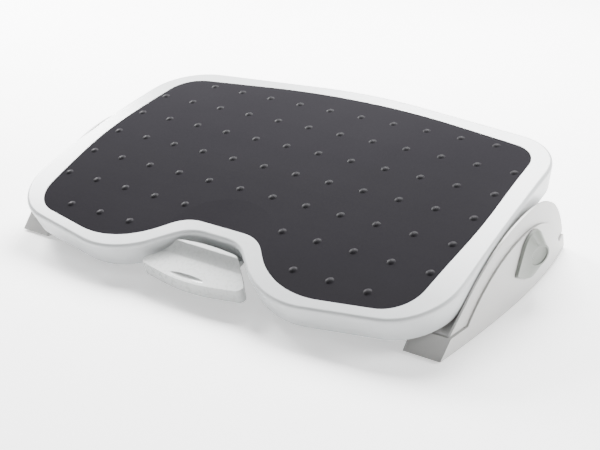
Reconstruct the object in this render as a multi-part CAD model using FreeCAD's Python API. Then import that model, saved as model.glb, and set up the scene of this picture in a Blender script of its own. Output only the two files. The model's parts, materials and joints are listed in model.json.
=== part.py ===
"""Tilting under desk footrest.

A crowned foot platform with a studded mat hangs on a steel tilt shaft between two side supports.
Each support is a fixed base and an arm that a knob, pinion and rack lift. A foot pedal in the
front notch draws a brake shoe off the drum on the tilt shaft, so that the platform can tilt.

The frame is X to the right, Y to the rear and Z up, in millimetres, with the floor at Z = 0.
Platform pieces are drawn flat, with their top centre at the origin, and then set at the stored tilt.
Right hand pieces are drawn and mirrored for the left.
"""
import FreeCAD
import Part
import math
import os

# Stored pose
STORED_TILT = 14.5
DECK_HEIGHT = 87.0

# Platform
CROWN_RADIUS = 1280.0
RIM_DEPTH = 31.0
WALL_DRAFT = 12.0
RIM_WALL = 2.5
RIM_ROUND = 4.5
MAT_THICKNESS = 2.4
MAT_SINK = 0.4
MAT_CLEARANCE = 0.3
DECK_SKIN = 2.6
RIB_THICKNESS = 1.8
RIB_DEPTH = 17.0
RIB_PITCH = 54.0
RIB_ROWS = (-2, 3)
RIB_FIELD_HALF_WIDTH = 222.0
PLATFORM_REAR = (0.0, 188.3, 500.0)
PLATFORM_HALF = [(260.8, 152.6, 68.0), (273.0, -146.5, 68.0), (93.1, -177.1, 95.0), (30.5, -116.5, 40.0)]
MAT_REAR = (0.0, 169.3, 750.0)
MAT_HALF = [(235.6, 130.0, 36.0), (245.3, -10.0, 500.0), (235.7, -136.8, 40.0), (100.1, -159.3, 95.0),
            (45.4, -100.3, 42.0)]

# Studs on the mat, by row: its number, and its first and last column
STUD_PITCH = 42.0
STUD_RADIUS = 3.9
STUD_TOP_RADIUS = 2.2
STUD_HEIGHT = 1.3
STUD_ROOT = 0.2
STUD_SIDES = 6
STUD_ROWS = [(3, 0, 4), (2, 0, 5), (1, 0, 5), (0, 0, 5), (-1, 0, 5), (-2, 1, 5), (-3, 2, 4)]

# Pressed facet of the mat behind the notch
FACET_APEX_Y = -57.0
FACET_DEEP_Y = -113.0
FACET_DEPTH = 1.3
FACET_RADIUS = 1400.0

# Tilt shaft, its brake drum and its bearings
SHAFT_Y = 0.0
SHAFT_Z = 48.0
SHAFT_RADIUS = 6.0
SHAFT_HALF_LENGTH = 253.2
RUNNING_CLEARANCE = 0.05
BUSH_WALL = 2.5
BEARING_X = 208.0
BEARING_WIDTH = 24.0
SADDLE_HALF_DEPTH = 23.0
SADDLE_HEIGHT = 14.0
CAP_DROP = 6.0
CAP_WALL = 3.5
DRUM_RADIUS = 16.0
DRUM_WIDTH = 24.0

# Side supports
SIDE_X = 274.0
SIDE_VERTEX_Y = 8.0
SIDE_FRONT_BOW = 1400.0
SIDE_REAR_BOW = 650.0
PANEL = 2.0
SLIDE_GAP = 0.3
ARM_WALL = 2.2
BASE_INNER_X = 230.5
INNER_COVER = 2.2
ARM_INNER_X = 232.0
ARM_STEP_X = 255.2
SOLE_UNDER = 2.0
SOLE = 3.0
FOOT_FRONT_Y = -124.0
FOOT_REAR_Y = 156.0
FOOT_TOP_Z = 18.5
FOOT_FRONT_TOP_Y = -108.0
FOOT_REAR_TOP_Y = 149.0
TUB_FRONT_Y = -84.0
TUB_REAR_Y = 130.0
GROOVE = 1.0
BASE_ARCH_PEAK = (33.0, 70.0)
BASE_ARCH_FRONT = 150.0
BASE_ARCH_REAR = 115.0
COVER_ARCH_PEAK_Z = 40.0
COVER_EAR = 13.0
ARM_ARCH_PEAK = (42.0, 89.0)
ARM_ARCH_FRONT = 182.0
ARM_ARCH_REAR = 124.0
ARM_TOE_Y = -106.5
ARM_HEEL_Y = 152.5
ARM_UNDER = 6.0
ARM_BOX_TOP = 62.0
RIM_PASS_X = 253.7
RIM_PASS_WIDTH = 4.0
RIM_PASS_Z = 52.0

# Height slide
HEIGHT_TRAVEL = 38.0
POST_X = 246.0
POST_YS = (-40.0, 62.0)
POST_RADIUS = 4.0
POST_TOP = 58.5
POST_BOSS = 3.5
POST_WALL = 2.5
TURRET_RADIUS = 8.0
SLIDE_BUSH_WALL = 2.0
SLIDE_BUSH_LENGTH = 12.0
SLIDE_BUSH_LIFT = 1.0

# Knob, pinion and rack
KNOB_Y = 38.0
KNOB_Z = 45.0
KNOB_SEAT_RADIUS = 20.0
KNOB_SEAT_STAND = 0.1
KNOB_GAP = 0.4
KNOB_RADIUS = 25.0
KNOB_TIP = 35.0
KNOB_TIP_ROUND = 3.0
KNOB_TIP_DOWN = 18.0
KNOB_TIP_SHARE = 0.35
KNOB_SIDES = 44
KNOB_FLANK = 1.2
KNOB_FLANK_X = 3.0
KNOB_FACE_X = 8.8
KNOB_FACE_LEAN = 24.0
KNOB_FACE_RADIUS = 12.5
KNOB_DISH_RADIUS = 10.5
KNOB_DISH_DEPTH = 1.2
KNOB_SHAFT_RADIUS = 5.0
KNOB_SHAFT_BITE = 4.2
KNOB_BUSH_WALL = 1.5
KNOB_BUSH_LENGTH = 9.0
KNOB_SLOT_CLEARANCE = 1.0
GEAR_MODULE = 2.0
PINION_TEETH = 12
PRESSURE_ANGLE = 25.0
GEAR_ADDENDUM = 1.8
GEAR_DEDENDUM = 2.3
GEAR_BACKLASH = 0.16
GEAR_X = 240.0
GEAR_WIDTH = 10.0
RACK_BACK = 9.0
RACK_RIB = 3.5

# Pedal and tilt lock
PEDAL_HINGE_Y = -86.0
PEDAL_PIN_RADIUS = 2.5
LEVER = 16.0
PEDAL_HINGE_Z = SHAFT_Z - LEVER
PEDAL_HUB_RADIUS = 5.5
PEDAL_HUB_INNER = 14.0
PEDAL_HUB_OUTER = 27.0
EAR_X = 28.0
EAR_THICKNESS = 4.0
EAR_RADIUS = 6.0
PEDAL_REAR = (0.0, -122.5, 200.0)
PEDAL_HALF = [(37.0, -126.0, 17.0), (69.0, -160.0, 6.0)]
PEDAL_FRONT = (0.0, -172.5, 190.0)
PEDAL_TOP = -19.0
PEDAL_FRONT_TOP = -21.0
PEDAL_BOTTOM = -35.0
PEDAL_RIDGE_TOP = -10.5
PEDAL_CREASE_Y = -141.0
PEDAL_RIDGE_Y = -129.0
PEDAL_WALL = 2.5
PEDAL_WINDOW = 27.8
PEDAL_WINDOW_TOP = -25.0
PEDAL_LINK_RADIUS = 3.5
LEVER_ROOM = 12.0
SLIDER_HALF_WIDTH = 8.0
SLIDER_HEIGHT = 8.0
SLIDER_NOSE = 5.0
SLIDER_END_Y = -34.0
SLIDER_GAP = 0.4
SLIDER_WEB = 1.2
SHOE_HALF_WIDTH = 11.0
SHOE_HALF_HEIGHT = 12.0
SHOE_FRONT = 17.0
LINING = 2.0
LINING_GAP = 0.3
GUIDE_FRONT_Y = -77.0
GUIDE_REAR_Y = -40.0
GUIDE_WALL = 3.0
GUIDE_FLANGE = 10.0
GUIDE_PLATE = 2.0
SPRING_RADIUS = 2.7
SPRING_WIRE = 0.8
SPRING_TURNS = 6
SPRING_STEPS = 9
SPRING_SIDES = 5
SPRING_POCKET = (-62.0, -44.0)
SPRING_STOP = 3.0
COVER_HALF_WIDTH = 34.0
COVER_WALL = 2.0
COVER_DROP = 5.0

# Base fittings
FOOT_PAD = (26.0, 22.0)
FOOT_PAD_ROUND = 5.0
FOOT_PAD_RECESS = 0.6
FOOT_PAD_X = 250.0
FOOT_PAD_YS = (-66.0, 106.0)
RAIL_Y = 139.0
RAIL_DEPTH = 18.0
RAIL_HEIGHT = 13.0
RAIL_SHEET = 1.5
RAIL_LIFT = 4.5
SCREW_RADIUS = 1.6
SCREW_HEAD_RADIUS = 3.2
SCREW_HEAD = 1.8
HEAD_SIDES = 6
SHANK_SIDES = 8
SCREW_LENGTH = 9.0
HEAD_CLEARANCE = 0.5
CLIP_WALL = 3.0
CLIP_THICKNESS = 1.2
CLIP_GROOVE = 1.0
CLIP_REACH = 3.0
CLIP_PLAY = 0.2
BOSS_WALL = 5.0
BOSS_RIB = 3.0
POST_ROOM = 0.8

V = FreeCAD.Vector
X_AXIS = V(1, 0, 0)
Y_AXIS = V(0, 1, 0)
Z_AXIS = V(0, 0, 1)
ORIGIN = V(0, 0, 0)
FAR = 320.0

# Sizes that follow from the driving ones
MAT_UNDER = MAT_SINK + MAT_THICKNESS
SKIN_UNDER = MAT_UNDER + DECK_SKIN
BUSH_RADIUS = SHAFT_RADIUS + BUSH_WALL
SLIDE_BUSH_RADIUS = POST_RADIUS + SLIDE_BUSH_WALL
SLIDE_BUSH_Z = SOLE_UNDER + SOLE + POST_BOSS + SLIDE_BUSH_LIFT
KNOB_BUSH_RADIUS = KNOB_SHAFT_RADIUS + KNOB_BUSH_WALL
KNOB_SEAT_X = SIDE_X + KNOB_SEAT_STAND
KNOB_BASE_X = KNOB_SEAT_X + KNOB_GAP
PITCH_RADIUS = GEAR_MODULE * PINION_TEETH / 2
GEAR_PITCH = math.pi * GEAR_MODULE
SKIN_INSET = PANEL + SLIDE_GAP
SOLE_TOP = SOLE_UNDER + SOLE


def rounded_wire(corners, grow=0.0, z=0.0):
    """A closed wire of lines and tangent arcs round corners (x, y, radius), counter-clockwise.

    grow moves every side outward, and the radii follow.
    """
    count = len(corners)
    lines = []
    for i in range(count):
        a = corners[i]
        b = corners[(i + 1) % count]
        along = V(b[0] - a[0], b[1] - a[1], 0).normalize()
        out = V(along.y, -along.x, 0)
        lines.append((V(a[0], a[1], 0) + out * grow, along))
    moved = []
    for i in range(count):
        p, d = lines[i - 1]
        q, e = lines[i]
        cross = d.x * e.y - d.y * e.x
        t = ((q.x - p.x) * e.y - (q.y - p.y) * e.x) / cross
        moved.append(p + d * t)
    edges = []
    last = None
    first = None
    for i in range(count):
        d = lines[i - 1][1]
        e = lines[i][1]
        turn = math.atan2(d.x * e.y - d.y * e.x, d.dot(e))
        radius = corners[i][2] + (grow if turn > 0 else -grow)
        corner = V(moved[i].x, moved[i].y, z)
        if corners[i][2] > 0 and radius > 0:
            reach = radius * math.tan(abs(turn) / 2)
            enter = corner - d * reach
            leave = corner + e * reach
            inward = (e - d).normalize()
            middle = corner + inward * (radius / math.cos(turn / 2) - radius)
            arc = Part.Arc(enter, middle, leave).toShape()
        else:
            enter = corner
            leave = corner
            arc = None
        if last is None:
            first = enter
        elif (enter - last).Length > 1e-6:
            edges.append(Part.makeLine(last, enter))
        if arc:
            edges.append(arc)
        last = leave
    if (first - last).Length > 1e-6:
        edges.append(Part.makeLine(last, first))
    return Part.Wire(edges)


def mirrored(rear, half, front=None):
    """All corners of an outline that is the same left and right of the YZ plane."""
    left = [(-x, y, r) for x, y, r in half]
    ahead = [front] if front else []
    return [rear] + left + ahead + list(reversed(half))


def path_wire(start, steps):
    """A closed wire in a plane: a step is an end point, or a pair of a middle and an end of an arc."""
    here = V(start[0], start[1], 0)
    edges = []
    for step in steps + [start]:
        if isinstance(step[0], tuple):
            there = V(step[1][0], step[1][1], 0)
            edges.append(Part.Arc(here, V(step[0][0], step[0][1], 0), there).toShape())
        else:
            there = V(step[0], step[1], 0)
            if (there - here).Length > 1e-6:
                edges.append(Part.makeLine(here, there))
        here = there
    return Part.Wire(edges)


def prism(wire, low, high):
    """The outline of a wire in the XY plane, stood between two heights."""
    solid = Part.Face(wire).extrude(V(0, 0, high - low))
    solid.translate(V(0, 0, low))
    return solid


def side_prism(wire, low_x, high_x):
    """An outline drawn as (y, z), stood between two places along X."""
    solid = prism(wire, low_x, high_x)
    solid.rotate(ORIGIN, V(1, 1, 1), 120)
    return solid


def box(x0, x1, y0, y1, z0, z1):
    """A block between two corners."""
    return Part.makeBox(x1 - x0, y1 - y0, z1 - z0, V(x0, y0, z0))


def rod(radius, x0, x1, y, z):
    """A round bar along X."""
    return Part.makeCylinder(radius, x1 - x0, V(x0, y, z), X_AXIS)


def pillar(radius, x, y, z0, z1):
    """A round bar along Z."""
    return Part.makeCylinder(radius, z1 - z0, V(x, y, z0), Z_AXIS)


def polygon(radius, sides):
    """A regular outline round the origin, with a corner on X."""
    corners = []
    for k in range(sides):
        angle = 2 * math.pi * k / sides
        corners.append(V(radius * math.cos(angle), radius * math.sin(angle), 0))
    return Part.makePolygon(corners + [corners[0]])


def screw_hole(start, axis, length):
    """The room of a screw's shank from a point along an axis."""
    hole = prism(polygon(SCREW_RADIUS, SHANK_SIDES), 0.0, length)
    if axis == X_AXIS:
        hole.rotate(ORIGIN, Y_AXIS, 90)
    if axis == Y_AXIS:
        hole.rotate(ORIGIN, X_AXIS, -90)
    return hole.translated(start)


def left_of(shape):
    """The left hand copy of a right hand piece."""
    return shape.mirror(ORIGIN, X_AXIS)


def both(shape):
    """A right hand piece and its left hand copy, as a group."""
    return group([shape, left_of(shape)])


def group(shapes):
    """Separate solids that share a node."""
    return Part.makeCompound(shapes)


def tilted(shape):
    """A piece drawn flat, set at the platform's stored tilt and height."""
    placed = shape.copy()
    placed.rotate(ORIGIN, X_AXIS, STORED_TILT)
    placed.translate(V(0, 0, DECK_HEIGHT))
    return placed


def flattened(y, z):
    """Where a point of the stored pose lies in the flat drawing of the platform."""
    c = math.cos(math.radians(STORED_TILT))
    s = math.sin(math.radians(STORED_TILT))
    return c * y + s * (z - DECK_HEIGHT), -s * y + c * (z - DECK_HEIGHT)


def crowned_slab(top_depth, bottom_depth):
    """The space between two depths under the crowned top, wider than the platform."""
    half = 240.0

    def drop(depth, y):
        return math.sqrt((CROWN_RADIUS - depth) ** 2 - y * y) - CROWN_RADIUS

    top = [(-half, drop(top_depth, half)), (0.0, -top_depth), (half, drop(top_depth, half))]
    low = [(half, drop(bottom_depth, half)), (0.0, -bottom_depth), (-half, drop(bottom_depth, half))]
    wire = path_wire(top[0], [(top[1], top[2]), low[0], (low[1], low[2])])
    return side_prism(wire, -FAR, FAR)


def drafted(corners, inset, high=6.0, low=-52.0):
    """The platform's outline as a block whose sides lean inward going down."""
    lean = math.tan(math.radians(WALL_DRAFT))
    top = rounded_wire(corners, high * lean - inset, high)
    bottom = rounded_wire(corners, low * lean - inset, low)
    return Part.makeLoft([top, bottom], True, True)


def platform_inside():
    """The hollow of the platform, flat."""
    corners = mirrored(PLATFORM_REAR, PLATFORM_HALF)
    return drafted(corners, RIM_WALL).common(crowned_slab(SKIN_UNDER, RIM_DEPTH + 30.0))


def platform_rim():
    """The platform's moulding before its ribs and bosses, flat."""
    corners = mirrored(PLATFORM_REAR, PLATFORM_HALF)
    body = drafted(corners, 0.0).common(crowned_slab(0.0, RIM_DEPTH))
    crown = max(body.Faces, key=lambda f: f.CenterOfMass.z * f.Area)
    body = body.makeChamfer(RIM_ROUND * 0.6, crown.Edges)
    body = body.cut(platform_inside())
    pocket = prism(rounded_wire(mirrored(MAT_REAR, MAT_HALF), MAT_CLEARANCE), -30.0, 10.0)
    return body.cut(pocket.common(crowned_slab(-10.0, MAT_UNDER)))


def platform_ribs():
    """The crossed ribs under the skin, flat."""
    ribs = []
    half = RIB_THICKNESS / 2
    columns = int(RIB_FIELD_HALF_WIDTH // RIB_PITCH)
    for i in range(-columns, columns + 1):
        ribs.append(box(i * RIB_PITCH - half, i * RIB_PITCH + half, -FAR, FAR, -FAR, 0))
    reach = RIB_FIELD_HALF_WIDTH
    for j in range(RIB_ROWS[0], RIB_ROWS[1] + 1):
        ribs.append(box(-reach, reach, j * RIB_PITCH - half, j * RIB_PITCH + half, -FAR, 0))
    field = crowned_slab(SKIN_UNDER - 1.0, RIB_DEPTH)
    outline = drafted(mirrored(PLATFORM_REAR, PLATFORM_HALF), RIM_WALL / 2)
    grid = ribs[0].fuse(ribs[1:])
    return grid.common(field).common(outline)


def slider_channel():
    """The guide of the lock slider under the platform, in the stored pose."""
    outer = SLIDER_HALF_WIDTH + SLIDER_GAP + GUIDE_WALL
    inner = SLIDER_HALF_WIDTH + SLIDER_GAP
    low = SHAFT_Z - SLIDER_HEIGHT / 2 - SLIDER_GAP
    high = SHAFT_Z + SLIDER_HEIGHT / 2 + SLIDER_GAP
    body = box(-outer, outer, GUIDE_FRONT_Y, GUIDE_REAR_Y, low, FAR)
    body = body.cut(box(-inner, inner, -FAR, 0, low - 1, high))
    reach = outer + GUIDE_FLANGE
    flanges = box(-reach, reach, GUIDE_FRONT_Y, GUIDE_REAR_Y, low, low + GUIDE_WALL)
    flanges = flanges.cut(box(-inner, inner, -FAR, 0, low - 1, high))
    stop = box(-SPRING_RADIUS, SPRING_RADIUS, SPRING_POCKET[0], SPRING_POCKET[0] + SPRING_STOP,
               SHAFT_Z - SLIDER_HEIGHT / 2 + SLIDER_WEB + SLIDER_GAP, high + 1)
    for x, y in guide_screw_places():
        flanges = flanges.cut(screw_hole(V(x, y, low - 1), Z_AXIS, GUIDE_WALL + 2))
    return body.fuse([flanges, stop])


def guide_screw_places():
    """The four screws of the guide plate, as (x, y)."""
    x = SLIDER_HALF_WIDTH + SLIDER_GAP + GUIDE_WALL + GUIDE_FLANGE / 2
    ys = (GUIDE_FRONT_Y + GUIDE_FLANGE / 2, GUIDE_REAR_Y - GUIDE_FLANGE / 2)
    return [(side * x, y) for side in (-1, 1) for y in ys]


def bearing_pedestal(x):
    """A saddle under the platform over the tilt shaft, in the stored pose."""
    low = SHAFT_Z + RUNNING_CLEARANCE
    saddle = box(x - BEARING_WIDTH / 2, x + BEARING_WIDTH / 2, -SADDLE_HALF_DEPTH, SADDLE_HALF_DEPTH,
                 low, low + SADDLE_HEIGHT)
    web = box(x - 2, x + 2, -SADDLE_HALF_DEPTH, SADDLE_HALF_DEPTH, low, FAR)
    gusset = box(x - BEARING_WIDTH / 2, x + BEARING_WIDTH / 2, -2, 2, low, FAR)
    body = saddle.fuse([web, gusset])
    body = body.cut(rod(BUSH_RADIUS, x - 40, x + 40, SHAFT_Y, SHAFT_Z))
    for y in cap_screw_ys():
        body = body.cut(screw_hole(V(x, y, low - 1), Z_AXIS, SCREW_LENGTH + 1))
    return body


def cap_screw_ys():
    """The screws of a bearing cap, front and rear of the shaft."""
    reach = (BUSH_RADIUS + CAP_WALL + SADDLE_HALF_DEPTH) / 2
    return (SHAFT_Y - reach, SHAFT_Y + reach)


def pedal_ears():
    """The two ears of the pedal's hinge pin, in the stored pose."""
    ears = []
    for side in (-1, 1):
        x0 = min(side * EAR_X, side * (EAR_X + EAR_THICKNESS))
        x1 = x0 + EAR_THICKNESS
        plate = box(x0, x1, PEDAL_HINGE_Y - EAR_RADIUS, PEDAL_HINGE_Y + EAR_RADIUS, PEDAL_HINGE_Z, FAR)
        plate = plate.fuse(rod(EAR_RADIUS, x0, x1, PEDAL_HINGE_Y, PEDAL_HINGE_Z))
        ears.append(plate.cut(rod(PEDAL_PIN_RADIUS, x0 - 1, x1 + 1, PEDAL_HINGE_Y, PEDAL_HINGE_Z)))
    return ears


def cover_posts():
    """The four posts that the mechanism cover is screwed to, in the stored pose."""
    posts = []
    for x, y in cover_screw_places():
        half = SCREW_HEAD_RADIUS + 1
        post = box(x - half, x + half, y - half, y + half, cover_top_z(), FAR)
        posts.append(post.cut(screw_hole(V(x, y, cover_top_z() - 1), Z_AXIS, SCREW_LENGTH + 1)))
    return posts


def cover_top_z():
    """The face of the platform's posts that the mechanism cover meets."""
    return SHAFT_Z - SLIDER_HEIGHT / 2 - SLIDER_GAP - GUIDE_PLATE - SCREW_HEAD - SLIDER_GAP


def cover_screw_places():
    """The four screws of the mechanism cover, as (x, y)."""
    x = COVER_HALF_WIDTH - SCREW_HEAD_RADIUS - 1
    ys = (GUIDE_FRONT_Y + SCREW_HEAD_RADIUS + 4, GUIDE_REAR_Y - SCREW_HEAD_RADIUS)
    return [(side * x, y) for side in (-1, 1) for y in ys]


def platform_shell():
    """The moulded platform with its ribs, saddles, slider guide and pedal ears."""
    half = EAR_X + EAR_THICKNESS
    front = PEDAL_HINGE_Y - LEVER_ROOM
    room = box(-half, half, front, GUIDE_REAR_Y + LEVER_ROOM, 0, SHAFT_Z + SLIDER_HEIGHT / 2 + SLIDER_GAP)
    room = room.fuse(box(-PEDAL_HUB_INNER - 2, PEDAL_HUB_INNER + 2, front, GUIDE_FRONT_Y, 0,
                         SHAFT_Z + PEDAL_LINK_RADIUS + 2))
    room = room.fuse(box(-SHOE_HALF_WIDTH - 1.5, SHOE_HALF_WIDTH + 1.5, SLIDER_END_Y - 5, SHAFT_Y, 0,
                         SHAFT_Z + SHOE_HALF_HEIGHT + 1.5))
    shaft_room = rod(DRUM_RADIUS + 2, -DRUM_WIDTH, DRUM_WIDTH, SHAFT_Y, SHAFT_Z)
    ribs = tilted(platform_ribs()).cut(room.fuse(shaft_room))
    hinge_y = flattened(PEDAL_HINGE_Y, PEDAL_HINGE_Z)[0]
    window = box(-PEDAL_WINDOW, PEDAL_WINDOW, PEDAL_REAR[1] - 20, hinge_y, -FAR, PEDAL_WINDOW_TOP)
    shell = tilted(platform_rim().cut(window)).fuse(ribs)
    carried = [bearing_pedestal(BEARING_X), bearing_pedestal(-BEARING_X), slider_channel()]
    carried = carried + pedal_ears() + cover_posts()
    lid = tilted(crowned_slab(SKIN_UNDER - 1.0, 120.0))
    for piece in carried:
        shell = shell.fuse(piece.common(lid))
    return shell.removeSplitter()


def stud(x, y, z):
    """One low stud, its foot sunk a little in the mat's face at z."""
    def ring(radius, height):
        points = []
        for k in range(STUD_SIDES):
            angle = math.pi * (2 * k + 1) / STUD_SIDES
            points.append(V(x + radius * math.cos(angle), y + radius * math.sin(angle), height))
        return Part.makePolygon(points + [points[0]])

    rings = [ring(STUD_RADIUS, z - STUD_ROOT), ring(STUD_TOP_RADIUS, z + STUD_HEIGHT)]
    return Part.makeLoft(rings, True, True)


def mat_top(y):
    """The height of the mat's crowned face at y, flat."""
    return -MAT_SINK - y * y / (2 * CROWN_RADIUS)


def foot_mat():
    """The rubber mat with its studs and its pressed facet."""
    mat = prism(rounded_wire(mirrored(MAT_REAR, MAT_HALF)), -30.0, 10.0)
    mat = mat.common(crowned_slab(MAT_SINK, MAT_UNDER))
    apex = V(0, FACET_APEX_Y, mat_top(FACET_APEX_Y))
    along = V(0, FACET_DEEP_Y, mat_top(FACET_DEEP_Y) - FACET_DEPTH) - apex
    along.normalize()
    axis_start = apex + V(0, along.z, -along.y) * FACET_RADIUS
    mat = mat.cut(Part.makeCylinder(FACET_RADIUS, FAR, axis_start, along))
    studs = []
    for row, first, last in STUD_ROWS:
        for column in range(first, last + 1):
            for side in (-1, 1):
                x = side * (column + 0.5) * STUD_PITCH
                y = row * STUD_PITCH
                studs.append(stud(x, y, mat_top(y)))
    return tilted(mat.fuse(studs))


def tilt_bush():
    """The right hand bush on the tilt shaft."""
    x0 = BEARING_X - BEARING_WIDTH / 2
    x1 = BEARING_X + BEARING_WIDTH / 2
    return rod(BUSH_RADIUS, x0, x1, SHAFT_Y, SHAFT_Z).cut(
        rod(SHAFT_RADIUS + RUNNING_CLEARANCE, x0 - 1, x1 + 1, SHAFT_Y, SHAFT_Z))


def bearing_cap():
    """The right hand cap that holds the bush up against its saddle."""
    x0 = BEARING_X - BEARING_WIDTH / 2 + 1
    x1 = BEARING_X + BEARING_WIDTH / 2 - 1
    high = SHAFT_Z - RUNNING_CLEARANCE
    cap = box(x0, x1, -SADDLE_HALF_DEPTH, SADDLE_HALF_DEPTH, high - CAP_DROP, high)
    cheek = rod(BUSH_RADIUS + CAP_WALL, x0, x1, SHAFT_Y, SHAFT_Z).common(box(x0, x1, -FAR, FAR, 0, high))
    cap = cap.fuse(cheek).cut(rod(BUSH_RADIUS, x0 - 1, x1 + 1, SHAFT_Y, SHAFT_Z))
    for y in cap_screw_ys():
        cap = cap.cut(screw_hole(V(BEARING_X, y, 0), Z_AXIS, FAR))
    return cap.removeSplitter()


def screw(length=SCREW_LENGTH):
    """A hexagon head screw along +Z, its head under the origin."""
    head = prism(polygon(SCREW_HEAD_RADIUS, HEAD_SIDES), -SCREW_HEAD, 0.0)
    return head.fuse(prism(polygon(SCREW_RADIUS, SHANK_SIDES), 0.0, length)).removeSplitter()


def screw_up(x, y, seat_z, length=SCREW_LENGTH):
    """A screw that points up, its head under the face at seat_z."""
    return screw(length).translated(V(x, y, seat_z))


def screw_out(x, y, z):
    """A screw that points to +X, its head against the face at x."""
    turned = screw()
    turned.rotate(ORIGIN, Y_AXIS, 90)
    return turned.translated(V(x, y, z))


def tilt_shaft():
    """The steel shaft between the two arms, with a clip groove near each end."""
    shaft = rod(SHAFT_RADIUS, -SHAFT_HALF_LENGTH, SHAFT_HALF_LENGTH, SHAFT_Y, SHAFT_Z)
    return shaft.cut(both(clip_groove(SHAFT_RADIUS, SHAFT_HALF_LENGTH - CLIP_REACH, SHAFT_Y, SHAFT_Z)))


def clip_groove(radius, x, y, z):
    """The ring that a clip takes out of a bar along X."""
    ring = rod(radius + 1, x, x + CLIP_THICKNESS, y, z)
    return ring.cut(rod(radius - CLIP_GROOVE, x - 1, x + 3, y, z))


def clip(radius, x, y, z):
    """An open retaining clip in its groove."""
    ring = rod(radius + CLIP_WALL, x, x + CLIP_THICKNESS, y, z)
    ring = ring.cut(rod(radius - CLIP_GROOVE, x - 1, x + 3, y, z))
    mouth = radius - CLIP_GROOVE
    return ring.cut(box(x - 1, x + 3, y - mouth * 0.8, y + mouth * 0.8, z - radius - 10, z))


def brake_drum():
    """The drum that the brake shoe grips, pressed on the shaft."""
    drum = rod(DRUM_RADIUS, -DRUM_WIDTH / 2, DRUM_WIDTH / 2, SHAFT_Y, SHAFT_Z)
    return drum.cut(rod(SHAFT_RADIUS, -FAR, FAR, SHAFT_Y, SHAFT_Z))


def lock_slider():
    """The bar that carries the brake shoe, with its fork slot and spring pocket."""
    low = SHAFT_Z - SLIDER_HEIGHT / 2
    high = SHAFT_Z + SLIDER_HEIGHT / 2
    bar = box(-SLIDER_HALF_WIDTH, SLIDER_HALF_WIDTH, PEDAL_HINGE_Y - SLIDER_NOSE, SLIDER_END_Y, low, high)
    slot_half = PEDAL_PIN_RADIUS + 0.1
    bar = bar.cut(box(-FAR, FAR, PEDAL_HINGE_Y - slot_half, PEDAL_HINGE_Y + slot_half, low + SLIDER_WEB,
                      high - SLIDER_WEB))
    return bar.cut(box(-SPRING_RADIUS - 0.5, SPRING_RADIUS + 0.5, SPRING_POCKET[0] - 4.0, SPRING_POCKET[1],
                       low + SLIDER_WEB, high + 1))


def brake_shoe():
    """The shoe at the end of the slider, hollowed for its lining."""
    shoe = box(-SHOE_HALF_WIDTH, SHOE_HALF_WIDTH, SLIDER_END_Y, SHAFT_Y - SHOE_FRONT + 4,
               SHAFT_Z - SHOE_HALF_HEIGHT, SHAFT_Z + SHOE_HALF_HEIGHT)
    return shoe.cut(rod(DRUM_RADIUS + LINING_GAP + LINING, -FAR, FAR, SHAFT_Y, SHAFT_Z))


def brake_lining():
    """The friction lining between the shoe and the drum."""
    inner = DRUM_RADIUS + LINING_GAP
    ring = rod(inner + LINING, -SHOE_HALF_WIDTH, SHOE_HALF_WIDTH, SHAFT_Y, SHAFT_Z)
    ring = ring.cut(rod(inner, -FAR, FAR, SHAFT_Y, SHAFT_Z))
    return ring.common(box(-FAR, FAR, SLIDER_END_Y, SHAFT_Y - SHOE_FRONT + 4,
                           SHAFT_Z - SHOE_HALF_HEIGHT, SHAFT_Z + SHOE_HALF_HEIGHT))


def guide_plate():
    """The steel plate that closes the slider's guide from below."""
    half = SLIDER_HALF_WIDTH + SLIDER_GAP + GUIDE_WALL + GUIDE_FLANGE
    top = SHAFT_Z - SLIDER_HEIGHT / 2 - SLIDER_GAP
    plate = box(-half, half, GUIDE_FRONT_Y, GUIDE_REAR_Y, top - GUIDE_PLATE, top)
    for x, y in guide_screw_places():
        plate = plate.cut(screw_hole(V(x, y, 0), Z_AXIS, FAR))
    return plate


def lock_spring():
    """The coil spring that presses the slider towards the drum."""
    start = SPRING_POCKET[0] + SPRING_STOP + SPRING_WIRE / 2 + 0.3
    end = SPRING_POCKET[1] - SPRING_WIRE / 2 - 0.3
    coil = SPRING_RADIUS - SPRING_WIRE / 2
    steps = SPRING_TURNS * SPRING_STEPS
    sections = []
    for k in range(steps + 1):
        turn = 2 * math.pi * k / SPRING_STEPS
        along = start + (end - start) * k / steps
        corners = []
        for j in range(SPRING_SIDES):
            angle = 2 * math.pi * j / SPRING_SIDES
            radius = coil + SPRING_WIRE / 2 * math.cos(angle)
            corners.append(V(radius * math.cos(turn), along + SPRING_WIRE / 2 * math.sin(angle),
                             SHAFT_Z + radius * math.sin(turn)))
        sections.append(Part.makePolygon(corners + [corners[0]]))
    return Part.makeLoft(sections, True, True)


def mechanism_cover():
    """The tray under the tilt lock."""
    top = cover_top_z()
    tray = box(-COVER_HALF_WIDTH, COVER_HALF_WIDTH, GUIDE_FRONT_Y, GUIDE_REAR_Y, top - COVER_DROP, top)
    inner = box(-COVER_HALF_WIDTH + COVER_WALL, COVER_HALF_WIDTH - COVER_WALL, GUIDE_FRONT_Y + COVER_WALL,
                GUIDE_REAR_Y - COVER_WALL, top - COVER_DROP + COVER_WALL, top + 1)
    tray = tray.cut(inner)
    for x, y in cover_screw_places():
        tab = SCREW_HEAD_RADIUS + 1
        tray = tray.fuse(box(x - tab, x + tab, y - tab, y + tab, top - COVER_DROP, top))
        tray = tray.cut(screw_hole(V(x, y, 0), Z_AXIS, FAR))
    return tray.removeSplitter()


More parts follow.
